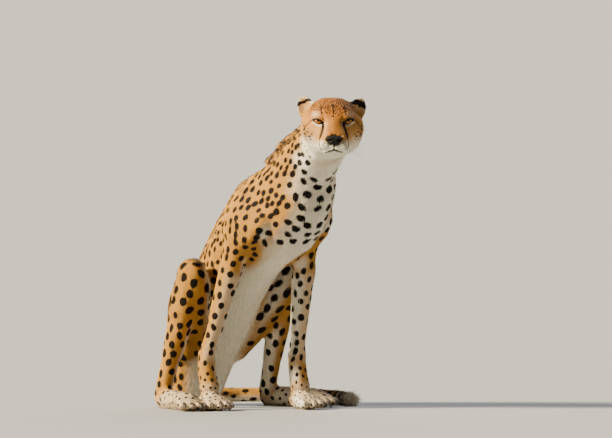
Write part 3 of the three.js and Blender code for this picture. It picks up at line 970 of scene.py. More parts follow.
def face_colours(local):
    """How pale and how warm the fur of the head is: a white muzzle, chin, lower cheek and edge under the eye,
    and a warm crown and bridge."""
    x, y, z = local[:, 0], np.abs(local[:, 1]), local[:, 2]
    muzzle = smooth(-42, -54, z - 0.22 * (y - 20)) * smooth(40, 55, x)
    patch = bell(y, 44, 10) * bell(z, 17.5, 8) * smooth(8, 22, x)
    rim, _ = almond_distance(y, z)
    crescent = bell(rim, 3.2, 1.9) * smooth(1, -2, z) * smooth(8, 22, x)
    side_face = smooth(28, 46, y) * smooth(0, -24, z) * smooth(-30, 10, x)
    inner_face = bell(y, 20, 5) * smooth(8, -6, z) * smooth(-52, -36, z) * smooth(30, 45, x)
    pale = np.maximum.reduce([
        smooth(-36, -62, z + 0.10 * y) * smooth(-70, 0, x + 26),
        0.92 * smooth(-26, -56, z) * smooth(34, 58, y),
        muzzle * mix(0.62, 1.0, smooth(-50, -62, z)),
        0.26 * patch, 0.85 * crescent, 0.06 * side_face, 0.08 * inner_face,
    ])
    warm = np.maximum.reduce([
        0.80 * smooth(-6, 14, z) * smooth(74, 48, y) * smooth(-95, -40, x),
        0.68 * smooth(27, 12, y) * smooth(-44, -36, z) * smooth(20, 40, x),
        0.30 * smooth(-60, 0, x),
    ])
    return pale, warm


def coat_fields(points, normals, edges):
    """What the coat does at every vertex of the skin: a dictionary of arrays."""
    weights = bone_weights(points)
    coats = np.array([bone[3] for bone in BONES.values()])
    ways = np.array([unit(bone[2] - bone[1]) for bone in BONES.values()])
    _, hair, depth, long_half, wide_half, spacing = (weights @ coats).T
    flow = weights @ ways
    head = head_share(points)
    body = 1 - head
    local = to_head(points)
    y, z = np.abs(local[:, 1]), local[:, 2]
    layout = (points - LAYOUT_SHIFT) / MM
    ahead, height = layout[:, 0], layout[:, 2]

    # Hair on the head runs back from the nose, outwards over the cheeks and down the chin.
    down = smooth(0, -60, z) * smooth(70, 10, local[:, 0])
    outward = np.sign(local[:, 1]) * (0.25 + 0.3 * smooth(10, 50, y))
    head_flow = unit(np.column_stack([-np.ones(len(points)), outward, -0.55 * down])) @ HEAD_AXES
    flow = mix(flow, head_flow, head)
    flow = flow - normals * dot(flow, normals)[:, None]
    flow = unit(soften(unit(flow), edges, 6))

    # Where the coat is long and deep
    under = soften(trunk_angle(points, normals), edges, 10)
    trunk = share_of(weights, "spine_")
    trunk_only = smooth(0.4, 0.9, trunk) * body
    neck = share_of(weights, "spine_nape", "spine_neck")
    legs = 1 - trunk - share_of(weights, "head")
    mane = smooth(-0.56, -0.86, under) * smooth(0.5, 0.2, legs) * smooth(-72, -98, local[:, 0])
    mane = mane * smooth(-125, -5, ahead)
    belly = smooth(0.35, 0.8, under) * trunk_only * smooth(60, -40, ahead)
    chest = smooth(0.45, 0.85, under) * trunk_only * smooth(10, 90, ahead)
    throat = smooth(0.3, 0.8, under) * trunk_only * smooth(0.3, 0.8, neck)
    hair = hair + 9 * belly + 4 * chest + 5 * throat
    depth = depth + 2.6 * belly + 1.6 * chest + 1.6 * throat
    ruff = head * smooth(34, 62, y) * smooth(-20, -52, z) * smooth(45, 10, local[:, 0])
    face = head * smooth(0, 34, local[:, 0])
    hair = mix(hair, 6.0, head) + 7 * ruff - 2.2 * face + 19 * mane
    depth = mix(depth, 1.5, head) + 1.6 * ruff - 0.6 * face + 3.4 * mane

    # The inner sides of the legs and the rear of the thighs
    inner = np.zeros(len(points))
    rear = np.zeros(len(points))
    for side, side_way in SIDES.items():
        for bone in ("upper_arm", "forearm", "pastern", "paw", "thigh", "shank", "heel"):
            share = smooth(0.35, 0.9, share_of(weights, f"{bone}_{side}"))
            low = smooth(430, 385, height) if bone == "upper_arm" else 1.0
            inner = np.maximum(inner, share * low * smooth(0.15, 0.75, -normals[:, 1] * side_way))
        thigh = smooth(0.3, 0.8, share_of(weights, f"thigh_{side}"))
        rear = np.maximum(rear, thigh * smooth(0.3, 0.9, -normals[:, 0]))
    hair = hair + 7 * inner * body * smooth(60, 200, height) + 3 * rear
    depth = depth + 0.8 * inner * body * smooth(60, 200, height)

    _, tail_share = on_line(points, TAIL_LINE)
    tail = share_of(weights, "tail_")
    tip = tail * smooth(0.82, 0.97, tail_share)
    hair = hair + 16 * tip
    depth = depth + 2.4 * tip
    feet = smooth(0.3, 0.8, share_of(weights, "paw", "heel"))

    # Pale fur: breast and belly, throat, below the jaw, inner legs, front of the forearms, toes, and the
    # tail's underside and tip
    arm_crease = mix(1.0, smooth(0.34, 0.08, share_of(weights, "upper_arm")), smooth(395, 430, height))
    from_chin = np.linalg.norm(local - (10, 0, -80), axis=1)
    below_jaw = smooth(-66, -90, z) * smooth(170, 110, from_chin)
    cream = np.maximum.reduce([
        smooth(0.52, 0.92, under) * trunk_only * arm_crease,
        0.95 * smooth(0.22, 0.78, under) * trunk_only * smooth(0.25, 0.8, neck),
        below_jaw * body * smooth(-0.35, 0.25, under),
        0.9 * inner * body,
        0.35 * smooth(0.2, 0.9, normals[:, 0]) * smooth(0.3, 0.8, share_of(weights, "forearm")),
        0.42 * feet,
        0.7 * tail * smooth(0.1, -0.6, normals[:, 2]),
        tip,
    ])
    rust = 0.12 * smooth(-0.2, -0.9, under) * trunk_only
    pale, warm = face_colours(local)
    cream = mix(cream, pale, head)
    rust = mix(rust, warm * (1 - 0.8 * pale), head)

    # The ears: a pale hollow, with hair that runs to the tip
    ear = np.zeros(len(points))
    ear_pale = np.zeros(len(points))
    for way in SIDES.values():
        place = in_ear(local, way)
        here = (np.linalg.norm(place / EAR_SIZE, axis=1) < 1) * smooth(-16, -4, place[:, 2])
        here = here * (local[:, 1] * way > 40)
        ear = np.maximum(ear, here)
        edge = np.hypot(place[:, 1] / EAR_CUP[0], (place[:, 2] - EAR_CUP[2]) / EAR_CUP[1])
        hollow = here * mix(0.2, 0.9, smooth(0.75, 1.1, edge)) * smooth(-6, 6, place[:, 2])
        ear_pale = np.maximum(ear_pale, hollow)
        upward = ear_frame(way)[2] @ HEAD_AXES
        flow = mix(flow, upward - normals * (normals @ upward)[:, None], here)
    cream = mix(cream, 0.70, ear_pale)
    rust = rust * (1 - ear_pale)
    hair = mix(hair, 6.0, ear)
    depth = mix(depth, 0.7, ear)

    crest = np.abs(layout[:, 1] - np.interp(ahead, *CREST) + CREST_SHIFT) / CREST_HALF_WIDTH
    clumps = smooth(-0.5, 0.5, waves(points, 13 * MM, 12) + waves(points, 5 * MM, 13) + 0.9 - crest)
    dusk = 0.96 * smooth(0.05, 0.5, mane) * clumps * smooth(-115, -15, ahead)
    plain = smooth(0.45, 0.65, under) * smooth(0.2, 0.5, trunk) * body * smooth(430, 390, height)
    larger = 1 + 0.3 * smooth(0.2, 0.7, under) * trunk_only + 0.15 * smooth(0.2, 0.8, throat + chest)
    return {
        "flow": unit(flow), "hair": hair, "depth": depth * sizes().coat_depth,
        "cream": np.clip(soften(cream, edges, 3), 0, 1), "rust": rust, "dusk": dusk,
        "spot_long": long_half * larger, "spot_wide": wide_half * larger ** 0.5, "spacing": spacing * larger,
        "under": under, "plain": plain, "head": head, "ear": ear, "mane": mane, "belly": belly,
        "chest": chest, "throat": throat, "ruff": ruff, "inner": inner * body, "tip": tip, "rear": rear,
        "tail": tail, "tail_share": tail_share, "feet": feet,
    }


# ---- Markings ----
def spread(points, spacing, random):
    """Picks points so that no two are nearer than their spacing, trying them in random order."""
    cell = spacing.max()
    boxes = {}
    chosen = []
    for index in random.permutation(len(points)):
        point, gap = points[index], spacing[index]
        key = tuple(np.floor(point / cell).astype(int))
        near = [
            other
            for dx in (-1, 0, 1) for dy in (-1, 0, 1) for dz in (-1, 0, 1)
            for other in boxes.get((key[0] + dx, key[1] + dy, key[2] + dz), ())
        ]
        if near and np.min(np.linalg.norm(points[near] - point, axis=1)) < gap:
            continue
        boxes.setdefault(key, []).append(index)
        chosen.append(index)
    return np.array(chosen)


ON_HEAD = 0.02  # share of the head from which the face's shapes and marks count
SPOT_THICKNESS = 12.0  # how far off the skin a spot ends, so that it marks no other part
SPOT_SHARE = 0.43  # the most that a spot's half length can be of the way to the next spot's middle
SPOTS_NEAR = 3  # as many of the nearest spots are looked at from any place
MOST_PLACES = 60000  # tried for a spot's middle
HIDDEN_EDGE = 0.45  # by which pale hair overlaps the edge of a mark
CHEEK_LOOK = (12.0, 2.3, 2.0)  # spacing, half length and half width of the spots
BACK_HEAD_LOOK = (10.0, 2.7, 2.2)
TAIL_LENGTH = 760.0
TAIL_RINGS = 24.0  # as many would fit on the whole tail
RINGED = (0.70, 0.955)  # the stretch of the tail that has rings, as shares of its length
RING_HALF_WIDTH = 0.29  # as a share of the way from ring to ring
MARK_FIELDS = ("head", "ear", "lips", "tail", "tail_share")
WORK = {}  # what the skin's maker leaves for the coat's


class Markings:
    """The animal's spots and lines, and how far any place is from the edge of the nearest one."""

    def __init__(self, points, normals, fields, random):
        head = fields["head"]
        local = to_head(points)
        x, y, z = local[:, 0], np.abs(local[:, 1]), local[:, 2]
        brow = bell(y, 44, 12) * bell(z, 17, 9) * smooth(8, 22, x)
        crown = head * smooth(10, 20, z) * smooth(58, 46, x)
        back_head = head * smooth(-20, -60, x)
        cheek = head * (1 - crown) * (1 - back_head)
        chin = smooth(165, 125, np.linalg.norm(local - (30, 0, -60), axis=1)) * smooth(-70, -90, z)
        bare = np.maximum.reduce([
            head * smooth(0, 12, x) * (1 - smooth(6, 18, z)), fields["ear"], 1.4 * brow * head,
            head * (z < -50) * (x > -50), chin * smooth(0.35, 0.75, fields["under"]), fields["plain"],
        ])
        looks = np.column_stack([fields["spacing"], fields["spot_long"], fields["spot_wide"]])
        crown_gap = mix(6.6, 4.3, smooth(16, 34, z))
        crown_look = np.column_stack(np.broadcast_arrays(crown_gap, 2.1, 1.45))
        for look, here in ((crown_look, crown), (CHEEK_LOOK, cheek), (BACK_HEAD_LOOK, back_head)):
            looks = mix(looks, np.asarray(look), here)
        gap, size, wide = looks.T
        unringed = fields["tail_share"] * (fields["tail"] > 0.5) < RINGED[0]
        keep = (bare < 0.4) & (fields["tip"] < 0.2) & unringed & (fields["belly"] < 0.5)
        pool = random.permutation(np.flatnonzero(keep))[:MOST_PLACES]
        chosen = pool[spread(points[pool], gap[pool] * MM * random.uniform(0.95, 1.08, len(pool)), random)]
        self.centres = points[chosen]
        count = len(chosen)
        self.long_half = size[chosen] * random.uniform(0.82, 1.16, count)
        self.wide_half = wide[chosen] * random.uniform(0.84, 1.14, count)
        turned = random.normal(0, 0.28, count)
        along = unit(fields["flow"][chosen])
        across = np.cross(normals[chosen], along)
        # On the chest the spots lie across the hair.
        chest = smooth(0.3, 0.8, fields["chest"][chosen] + 0.7 * fields["throat"][chosen])
        turned = turned + chest * (math.pi / 2)
        self.along = along * np.cos(turned)[:, None] + across * np.sin(turned)[:, None]
        self.across = np.cross(normals[chosen], self.along)
        self.out = normals[chosen]
        self.tree = KDTree(count)
        for index, centre in enumerate(self.centres):
            self.tree.insert(centre, index)
        self.tree.balance()
        for index, centre in enumerate(self.centres):
            most = SPOT_SHARE * self.tree.find_n(centre, 2)[-1][2] / MM
            self.long_half[index] = min(self.long_half[index], most)
            self.wide_half[index] = min(self.wide_half[index], most)

    def spots(self, points):
        """Signed distance in millimetres to the nearest spot's edge."""
        found = np.zeros((len(points), SPOTS_NEAR), dtype=np.int64)
        for row, point in enumerate(points):
            for column, (_, index, _) in enumerate(self.tree.find_n(point, SPOTS_NEAR)):
                found[row, column] = index
        best = np.full(len(points), SPOT_THICKNESS)
        wobble = 0.10 * waves(points, 9 * MM, 5)
        for index in found.T:
            offset = (points - self.centres[index]) / MM
            a = dot(offset, self.along[index]) / self.long_half[index]
            b = dot(offset, self.across[index]) / self.wide_half[index]
            c = dot(offset, self.out[index]) / SPOT_THICKNESS
            radius = np.sqrt(a * a + b * b + c * c) + wobble
            half = np.minimum(self.long_half[index], self.wide_half[index])
            best = np.minimum(best, (radius - 1) * half * 1.15)
        return best

    def __call__(self, points, head, ear, lips, tail, tail_share):
        """Signed distance in millimetres to the edge of the nearest mark of any kind."""
        best = self.spots(points)
        best = np.where(head > ON_HEAD, np.minimum(best, face_marks(points, ear)), best)
        best = np.minimum(best, lips) - HIDDEN_EDGE
        ring = tail_share * TAIL_RINGS + 0.15 * waves(points, 30 * MM, 8)
        band = (np.abs(ring - np.round(ring)) - RING_HALF_WIDTH) * (TAIL_LENGTH / TAIL_RINGS)
        ringed = (tail > 0.5) & (tail_share > RINGED[0]) & (tail_share < RINGED[1])
        return np.where(ringed, np.minimum(best, band), best)


def face_marks(points, ear):
    """Signed distance in millimetres to the lid rims, the streaks at the eye and brow, the spots of cheeks
    and lips, and the ears' dark bands, which are partly painted shade."""
    local = to_head(points)
    x, y, z = local[:, 0], np.abs(local[:, 1]), local[:, 2]
    flat = np.column_stack([y, z])
    ragged = 0.25 * waves(points, 3 * MM, 3)
    rim, _ = almond_distance(y, z)
    best = rim - mix(0.9, 2.3, smooth(-6, 4, z)) + 0.4 * ragged
    corner, _ = on_line(flat, EYE_TAIL)
    dashes = 1.1 * np.sin(y * 1.35) * smooth(51, 57, y)
    best = np.minimum(best, corner - 0.7 + dashes + 1.5 * ragged)
    for streak in BROW_STREAKS:  # the first is single, near the middle, and the second is on both sides
        line = np.column_stack([local[:, 1], z]) if streak[0][0] < 0 else flat
        reach, part = on_line(line, streak)
        width = 1.35 * smooth(-0.1, 0.12, part) * mix(1.0, 0.5, smooth(0.4, 0.8, part))
        gaps = np.maximum(1.1 * np.sin(z * 0.9 + y) - 0.1, 0)
        best = np.minimum(best, reach - width + gaps + 1.8 * ragged)
    spots = [(spot_y, spot_z, radius + 0.3, 1.0) for spot_y, spot_z, radius in CHEEK_SPOTS]
    for _, row_y, row_z in WHISKER_ROWS:
        for number in range(WHISKERS_IN_ROW):
            spots.append((row_y + WHISKER_STEP[1] * number - 3, row_z + WHISKER_STEP[2] * number, 0.8, 0.5))
    for spot_y, spot_z, radius, rough in spots:
        best = np.minimum(best, np.hypot(y - spot_y, z - spot_z) - radius + rough * ragged)
    best = best + np.where(x > 8, 0.0, 20.0)
    raised = np.where(local[:, 1] < 0, z - RIGHT_EAR_RISE, z)
    band, share = on_line(np.column_stack([y, raised]), EAR_BAND_AND_SHADE)
    # The band is 3.6 mm wider on the left ear: painted shade on the side turned from the key light.
    band = band - mix(2.4, 4.6, share) - 3.6 * (local[:, 1] > 0) + 1.8 * waves(points, 8 * MM, 4) + 3 * ragged
    band = band + 12 * (1 - smooth(0.0, 0.4, ear))
    return np.where((ear > 0.12) | (y > 52), np.minimum(best, band), best)


def build_skin():
    """One skin over all the flesh: joined, smoothed, refined at the head and toes, shaped and marked."""
    random = np.random.default_rng(sizes().seed)
    skin = joined_flesh()
    mesh = skin.data
    points = coordinates(mesh)
    head = head_share(points)
    feet = smooth(0.3, 0.8, share_of(bone_weights(points), "paw", "heel"))
    points = relax(points, edges_of(mesh), 60, (1 - 0.93 * feet) * (1 - 0.75 * head))
    set_coordinates(mesh, points)

    local = to_head(points)
    start, stop, half = FINE_HEAD
    fine = (head > 0.3) & (local[:, 0] > start) & (local[:, 0] < stop) & (np.abs(local[:, 1]) < half)
    refine(mesh, fine | near_toes(points))
    points = coordinates(mesh)
    local = to_head(points)
    start, half, bottom, top = FINE_FACE
    fine = (head_share(points) > 0.5) & (local[:, 0] > start) & (np.abs(local[:, 1]) < half)
    refine(mesh, fine & (local[:, 2] < top) & (local[:, 2] > bottom))
    points = coordinates(mesh)
    edges = edges_of(mesh)
    head = head_share(points)
    points = relax(points, edges, 6, 0.9 * smooth(0, 0.3, head))
    on_head = head > ON_HEAD
    points[on_head] = from_head(pushed(to_head(points[on_head]), NAMED_PUSHES))
    set_coordinates(mesh, points)

    normals = vertex_normals(mesh)
    fields = coat_fields(points, normals, edges)
    lips, split, share, tear = face_lines(mesh, to_head(points[on_head]))
    lines = np.minimum(lips - mix(1.6, 0.5, smooth(0.3, 0.9, share)), split - 1.0)
    fields["lips"] = np.full(len(points), 99.0)
    fields["lips"][on_head] = np.minimum(lines, tear)
    grounded = (points[:, 2] < 2.5 * MM) & (normals[:, 2] < -0.5)
    depth = soften(fields["depth"], edges, 4)
    points = points - normals * (GROW + depth * MM)[:, None]
    points = shape_muscles(points, normals)
    points = shape_paws(points, normals)
    turned = normals[on_head] @ HEAD_AXES.T
    local = shape_mouth(to_head(points[on_head]), turned, lips, split, share)
    points[on_head] = from_head(shape_lids(shape_ears(local)))
    points[grounded, 2] = SOLE_HEIGHT * MM
    points[:, 2] = np.maximum(points[:, 2], SOLE_HEIGHT * MM)
    set_coordinates(mesh, points)

    normals = vertex_normals(mesh)
    fields["flow"] = unit(fields["flow"] - normals * dot(fields["flow"], normals)[:, None])
    marks = Markings(points, normals, fields, random)
    for name in ("cream", "rust", "dusk"):
        store(mesh, name, fields[name])
    store(mesh, "spot", marks(points, *(fields[key] for key in MARK_FIELDS)))
    mesh.shade_smooth()
    WORK.update(marks=marks, fields=fields, points=points, normals=normals)
    return skin


# ---- Coat ----
SIDE_LEAN = 0.55  # how far a tuft's sides turn the light, as a rounded lock's do
MANE_RISE = 1.5  # how much higher than other hair the mane stands
MOST_TRIANGLES = 190000  # in one piece of the coat
HAIR_LENGTHS = (0.75, 1.2)  # the range of a tuft's length, depth and width round the usual one
HAIR_DEPTHS = (0.7, 1.1)
HAIR_WIDTHS = (0.75, 1.25)
TUFT_THICKNESS = 0.42  # of its half width
TUFT_NARROWING = 0.25  # how much of its width a tuft has lost near the tip
ROOT_DEPTH = 0.35  # how deep in the skin its root is
RING_CLEAR = 0.1  # the least heights of a tuft's rings and tip above the floor
TIP_CLEAR = 0.2
UV_PATCH = 0.0015  # half width of a tuft's root on the unwrap
LONG_HAIR = {  # how densely long tufts stand where each field is full
    "mane": 3, "belly": 1.4, "chest": 1.4, "throat": 1.6, "ruff": 2.2, "inner": 0.8, "tip": 2.5, "rear": 0.5,
    "ear": 1.4,
}


def tuft_mesh(name, rings, normals, sides, uv):
    """One mesh of many closed tufts. rings holds, from root to tip, a (tufts, corners, 3) array of places and
    a dictionary of numbers for them: three corners in each ring and one at the tip. Light falls on a tuft as
    on a rounded lock of the coat, between its own sides and the skin below."""
    points = np.concatenate([places for places, _ in rings], axis=1)
    count, per_tuft = points.shape[:2]
    steps = len(rings) - 1
    faces = [(0, 2, 1)]
    for step in range(steps - 1):
        for corner in range(3):
            a, b = 3 * step + corner, 3 * step + (corner + 1) % 3
            faces += [(a, b, b + 3), (a, b + 3, a + 3)]
    top = 3 * (steps - 1)
    faces += [(top + corner, top + (corner + 1) % 3, per_tuft - 1) for corner in range(3)]
    every = (np.array(faces)[None] + (np.arange(count) * per_tuft)[:, None, None]).reshape(-1, 3)
    mesh = bpy.data.meshes.new(name)
    mesh.vertices.add(count * per_tuft)
    mesh.vertices.foreach_set("co", points.astype(np.float32).ravel())
    mesh.loops.add(every.size)
    mesh.loops.foreach_set("vertex_index", every.ravel().astype(np.int32))
    mesh.polygons.add(len(every))
    mesh.polygons.foreach_set("loop_start", np.arange(0, every.size, 3, dtype=np.int32))
    mesh.update(calc_edges=True)
    for key in rings[0][1]:
        columns = [
            np.broadcast_to(np.reshape(numbers[key], (-1, 1)), (count, places.shape[1]))
            for places, numbers in rings
        ]
        store(mesh, key, np.concatenate(columns, axis=1).ravel())
    patch = UV_PATCH * np.array([(-1, -1), (1, -1), (0, 1)])
    flat = [uv[:, None] + patch * (1 - 0.5 * step / steps) for step in range(steps)]
    layout = np.concatenate([*flat, uv[:, None]], axis=1)
    layer = mesh.uv_layers.new(name="OFBake")
    layer.data.foreach_set("uv", layout.reshape(-1, 2)[every.ravel()].astype(np.float32).ravel())
    mesh.shade_smooth()
    ring = normals[:, None] + SIDE_LEAN * sides[:, None] * np.array([(-1,), (1,), (0,)])
    shading = unit(np.concatenate([ring] * steps + [normals[:, None]], axis=1))
    mesh.normals_split_custom_set_from_vertices(shading.reshape(-1, 3).astype(np.float32))
    return link(name, mesh)


# The middle lines round which each piece of the coat is unwrapped
PIECE_LINES = {
    "head": [from_head([(96, 0, -40), (-130, 0, -20)])],
    "neck": [from_layout([SPINE["nape"], SPINE["neck"], SPINE["withers"]])],
    "chest": [from_layout([SPINE["neck"], SPINE["withers"], SPINE["ribs"]])],
    "flank": [from_layout([SPINE["withers"], SPINE["ribs"], SPINE["loin"], SPINE["croup"]])],
    "rump": [from_layout([SPINE["loin"], SPINE["croup"], SPINE["seat"]])],
    "tail": [TAIL_LINE],
}
for side in SIDES:
    fore, hind = FORELEGS[side], HINDLEGS[side]
    paw, foot = (paw_place(*PAWS[f"{end}_{side}"], 80, 0, 12) for end in ("fore", "hind"))
    PIECE_LINES[f"foreleg_{side}"] = [from_layout([fore["blade"], fore["elbow"], fore["wrist"], paw])]
    PIECE_LINES[f"hindleg_{side}"] = [from_layout([hind["hip"], hind["knee"]]),
                                      from_layout([hind["knee"], hind["hock"], foot])]


def unwrap(points, piece):
    """Flat places of points on the piece's own unwrap: round its middle line and along it."""
    lines = PIECE_LINES[piece]
    reaches = [on_line(points, line)[0] for line in lines]
    strip = np.argmin(reaches, axis=0)
    uv = np.empty((len(points), 2))
    for number, line in enumerate(lines):
        mine = strip == number
        _, share = on_line(points[mine], line)
        axis = unit(line[-1] - line[0])
        side = unit(np.cross(axis, (0.0, 0.0, 1.0)) + (0.0, 1e-6, 0.0))
        up = np.cross(side, axis)
        base = np.array([np.interp(share, np.linspace(0, 1, len(line)), line[:, k]) for k in range(3)]).T
        offset = points[mine] - base
        turn = np.arctan2(offset @ side, offset @ up) / (2 * math.pi) + 0.5
        lean = (points[mine] - line[0]) @ axis / np.linalg.norm(line[-1] - line[0])
        uv[mine, 0] = (number + 0.01 + 0.98 * turn) / len(lines)
        uv[mine, 1] = 0.03 + 0.94 * np.clip(0.15 + 0.7 * (0.5 * share + 0.5 * lean), 0, 1)
    return uv


class Roots:
    """Places on the skin where tufts grow, with every field there."""

    def __init__(self, skin, density, count, random):
        mesh = skin.data
        mesh.calc_loop_triangles()
        triangles = rows(mesh.loop_triangles, "vertices", 3, np.int64)
        corners = WORK["points"][triangles]
        sides = corners[:, 1:] - corners[:, :1]
        area = np.linalg.norm(np.cross(sides[:, 0], sides[:, 1]), axis=1) / 2
        wanted = area * density[triangles].mean(axis=1)
        wanted *= count / wanted.sum()
        number = np.floor(wanted + random.random(len(wanted))).astype(int)
        face = np.repeat(np.arange(len(triangles)), number)
        a, b = random.random(len(face)), random.random(len(face))
        over = a + b > 1
        a[over], b[over] = 1 - a[over], 1 - b[over]
        self.corner = triangles[face]
        self.weight = np.column_stack([1 - a - b, a, b])
        self.points = self.sample(WORK["points"])
        self.normals = unit(self.sample(WORK["normals"]))
        flow = self.field("flow")
        self.flow = unit(flow - self.normals * dot(flow, self.normals)[:, None])
        self.random = random

    def sample(self, values):
        """What the skin's vertices hold, at the roots."""
        taken = values[self.corner]
        if taken.ndim == 3:
            return np.einsum("nk,nkc->nc", self.weight, taken)
        return np.einsum("nk,nk->n", self.weight, taken)

    def field(self, name):
        return self.sample(WORK["fields"][name])

    def keep(self, mask):
        for name in ("corner", "weight", "points", "normals", "flow"):
            setattr(self, name, getattr(self, name)[mask])


def bare_places(points):
    """True where no fur grows: on the lids, the nose and the eyes' openings."""
    local = to_head(points)
    y = np.abs(local[:, 1])
    rim, _ = almond_distance(y, local[:, 2])
    front = local[:, 0] > 14
    bare = front & (rim < 1.4)
    nose = (local[:, 0] > 66) & (y < 19 + 0.6 * np.minimum(local[:, 2] + 42, 0)) & (local[:, 2] < -35)
    bare |= nose & (local[:, 2] > -57)
    return bare


def grow_tufts(roots, wide, steps, long=1.0, lift=1.0, depth_share=0.9, jitter=0.16):
    """Tufts from the roots. steps is the number of rings below the tip, and long, lift and depth_share
    change the hair's length, how far it stands off and how much of the coat's depth it fills."""
    random = roots.random
    count = len(roots.points)
    hair = roots.field("hair") * random.uniform(*HAIR_LENGTHS, count) * long * MM
    depth = roots.field("depth") * MM
    turn = random.normal(0, jitter, count)
    across = np.cross(roots.normals, roots.flow)
    way = roots.flow * np.cos(turn)[:, None] + across * np.sin(turn)[:, None]
    side = np.cross(roots.normals, way)
    rise = np.minimum(depth * depth_share * random.uniform(*HAIR_DEPTHS, count), hair * 0.8) * lift
    rise = rise * (1 + MANE_RISE * roots.field("mane"))
    run = np.sqrt(np.maximum(hair ** 2 - rise ** 2, (0.2 * hair) ** 2))
    half = 0.5 * wide * random.uniform(*HAIR_WIDTHS, count)
    lock = random.random(count)
    curve = random.normal(0, 0.10, count)
    fields = {key: roots.field(key) for key in ("cream", "rust", "dusk", *MARK_FIELDS)}

    def middle(t):
        """The middle of the tufts at the share t of their run."""
        up = rise * (1.6 * t - 0.6 * t * t)
        straight = roots.points + way * (run * t)[:, None] + roots.normals * up[:, None]
        return straight + side * (curve * run * t * t)[:, None]

    def numbers(along, share):
        """The numbers of a ring, with the marks of the skin under this share of the run."""
        below = roots.points + way * (run * share)[:, None]
        spot = WORK["marks"](below, *(fields[key] for key in MARK_FIELDS))
        return {"cream": fields["cream"], "rust": fields["rust"], "dusk": fields["dusk"], "spot": spot,
                "along": along, "lock": lock}

    rings = []
    for t in np.arange(steps) / steps:
        centre = middle(t) - roots.normals * (ROOT_DEPTH * MM if t == 0 else 0)
        size = 1.0 - TUFT_NARROWING * t
        aside = side * (half * size)[:, None]
        top = roots.normals * (TUFT_THICKNESS * half * size + rise * 0.12)[:, None]
        ring = np.stack([centre - aside, centre + aside, centre + top], axis=1)
        ring[:, :, 2] = np.maximum(ring[:, :, 2], RING_CLEAR * MM)
        rings.append((ring, numbers(t, t)))
    tip = middle(1.0)[:, None]
    tip[:, :, 2] = np.maximum(tip[:, :, 2], TIP_CLEAR * MM)
    rings.append((tip, numbers(1.0, 0.85)))
    return rings, side


def owner_of(points):
    """The coat piece that each point belongs to."""
    weights = bone_weights(points)
    pieces = np.array([PIECES.index(bone[0]) for bone in BONES.values()])
    owner = pieces[weights.argmax(axis=1)]
    return np.where(head_share(points) > 0.5, PIECES.index("head"), owner)


def lay_pieces(roots, tufts, kind, material):
    """Parts the tufts among the pieces of the coat and makes a mesh of each."""
    rings, sides = tufts
    owner = owner_of(roots.points)
    per_tuft = 6 * (len(rings) - 1) - 2  # triangles
    for number, piece in enumerate(PIECES):
        mine = np.flatnonzero(owner == number)
        if not len(mine):
            continue
        parts = int(np.ceil(len(mine) * per_tuft / MOST_TRIANGLES))
        split = np.array_split(mine[np.argsort(roots.points[mine, 1])], parts)
        for count, some in enumerate(split):
            name = f"{kind}_{piece}" + (f"_{count + 1}" if parts > 1 else "")
            chosen = [(ring[some], {k: (v[some] if np.ndim(v) else v) for k, v in nums.items()})
                      for ring, nums in rings]
            uv = unwrap(roots.points[some], piece)
            mesh = tuft_mesh(name, chosen, roots.normals[some], sides[some], uv)
            finish_piece(mesh, "coat", material)


def build_coat(skin):
    """Three kinds of tuft all over the skin: short on the body, fine on the head, and long."""
    setting = sizes()
    random = np.random.default_rng(setting.seed + 1)
    fields = WORK["fields"]
    share = 1.0
    material = coat_material("cheetah_fur", tufts=True)
    head = fields["head"]

    # Short coat of the body
    density = (1 - smooth(0.3, 0.7, head)) * mix(1.0, 1.7, fields["feet"]) * mix(1.0, 0.6, fields["belly"])
    roots = Roots(skin, density, setting.body_tufts * share, random)
    tufts = grow_tufts(roots, setting.tuft_width * mix(1.0, 0.75, roots.field("feet")), 1)
    lay_pieces(roots, tufts, "coat", material)

    # Fine coat of the head
    face = smooth(0, 40, to_head(WORK["points"])[:, 0])
    roots = Roots(skin, smooth(0.3, 0.7, head) * mix(1.0, 1.5, face), setting.head_tufts * share, random)
    roots.keep(~bare_places(roots.points))
    tufts = grow_tufts(roots, 0.75 * MM, 1, jitter=0.12)
    lay_pieces(roots, tufts, "fine", material)

    # Long curved tufts
    density = sum(fields[name] * amount for name, amount in LONG_HAIR.items())
    roots = Roots(skin, np.clip(density, 0, 3), setting.long_tufts * share, random)
    roots.keep(~bare_places(roots.points))
    tufts = grow_tufts(roots, 1.15 * MM, 2, long=1.15, lift=1.15, depth_share=1.0, jitter=0.26)
    lay_pieces(roots, tufts, "long", material)


# ---- Eyes, lids, nose, claws and whiskers ----
GAZE_OUT = math.radians(3)
GAZE_UP = 0.12
WINDOW = (0.9, 0.62)  # how far the clear window stands out, and its angle round the gaze, radians
LID_RIM = (0.9, 1.7)  # radius of the lower and the upper lid's rim
LID_RIM_OUT = 0.9  # how far off the eyeball the rim's middle is
NOSE_SIDES = 48
NOSE_FLATNESS = 0.72  # below 1 the top of the pad is squarer
NOSE_NARROWING = 0.72  # how much the pad draws in towards the lip's groove
CLAW_RADIUS = 3.7
CLAW_TAPER = 0.68  # how much of the radius is lost at the tip
WHISKER_RADIUS = 0.30
WHISKER_TAPER = 0.93


def gaze_of(way):
    """Unit direction in which the eye looks, in the world."""
    local = np.array([math.cos(GAZE_OUT), math.sin(GAZE_OUT) * way, GAZE_UP])
    return unit(local @ HEAD_AXES)


def eye_centre(way):
    """The middle of the eyeball on the side with this sign of y, in the world."""
    return from_head(EYE_CENTRE / MM * (1, way, 1))


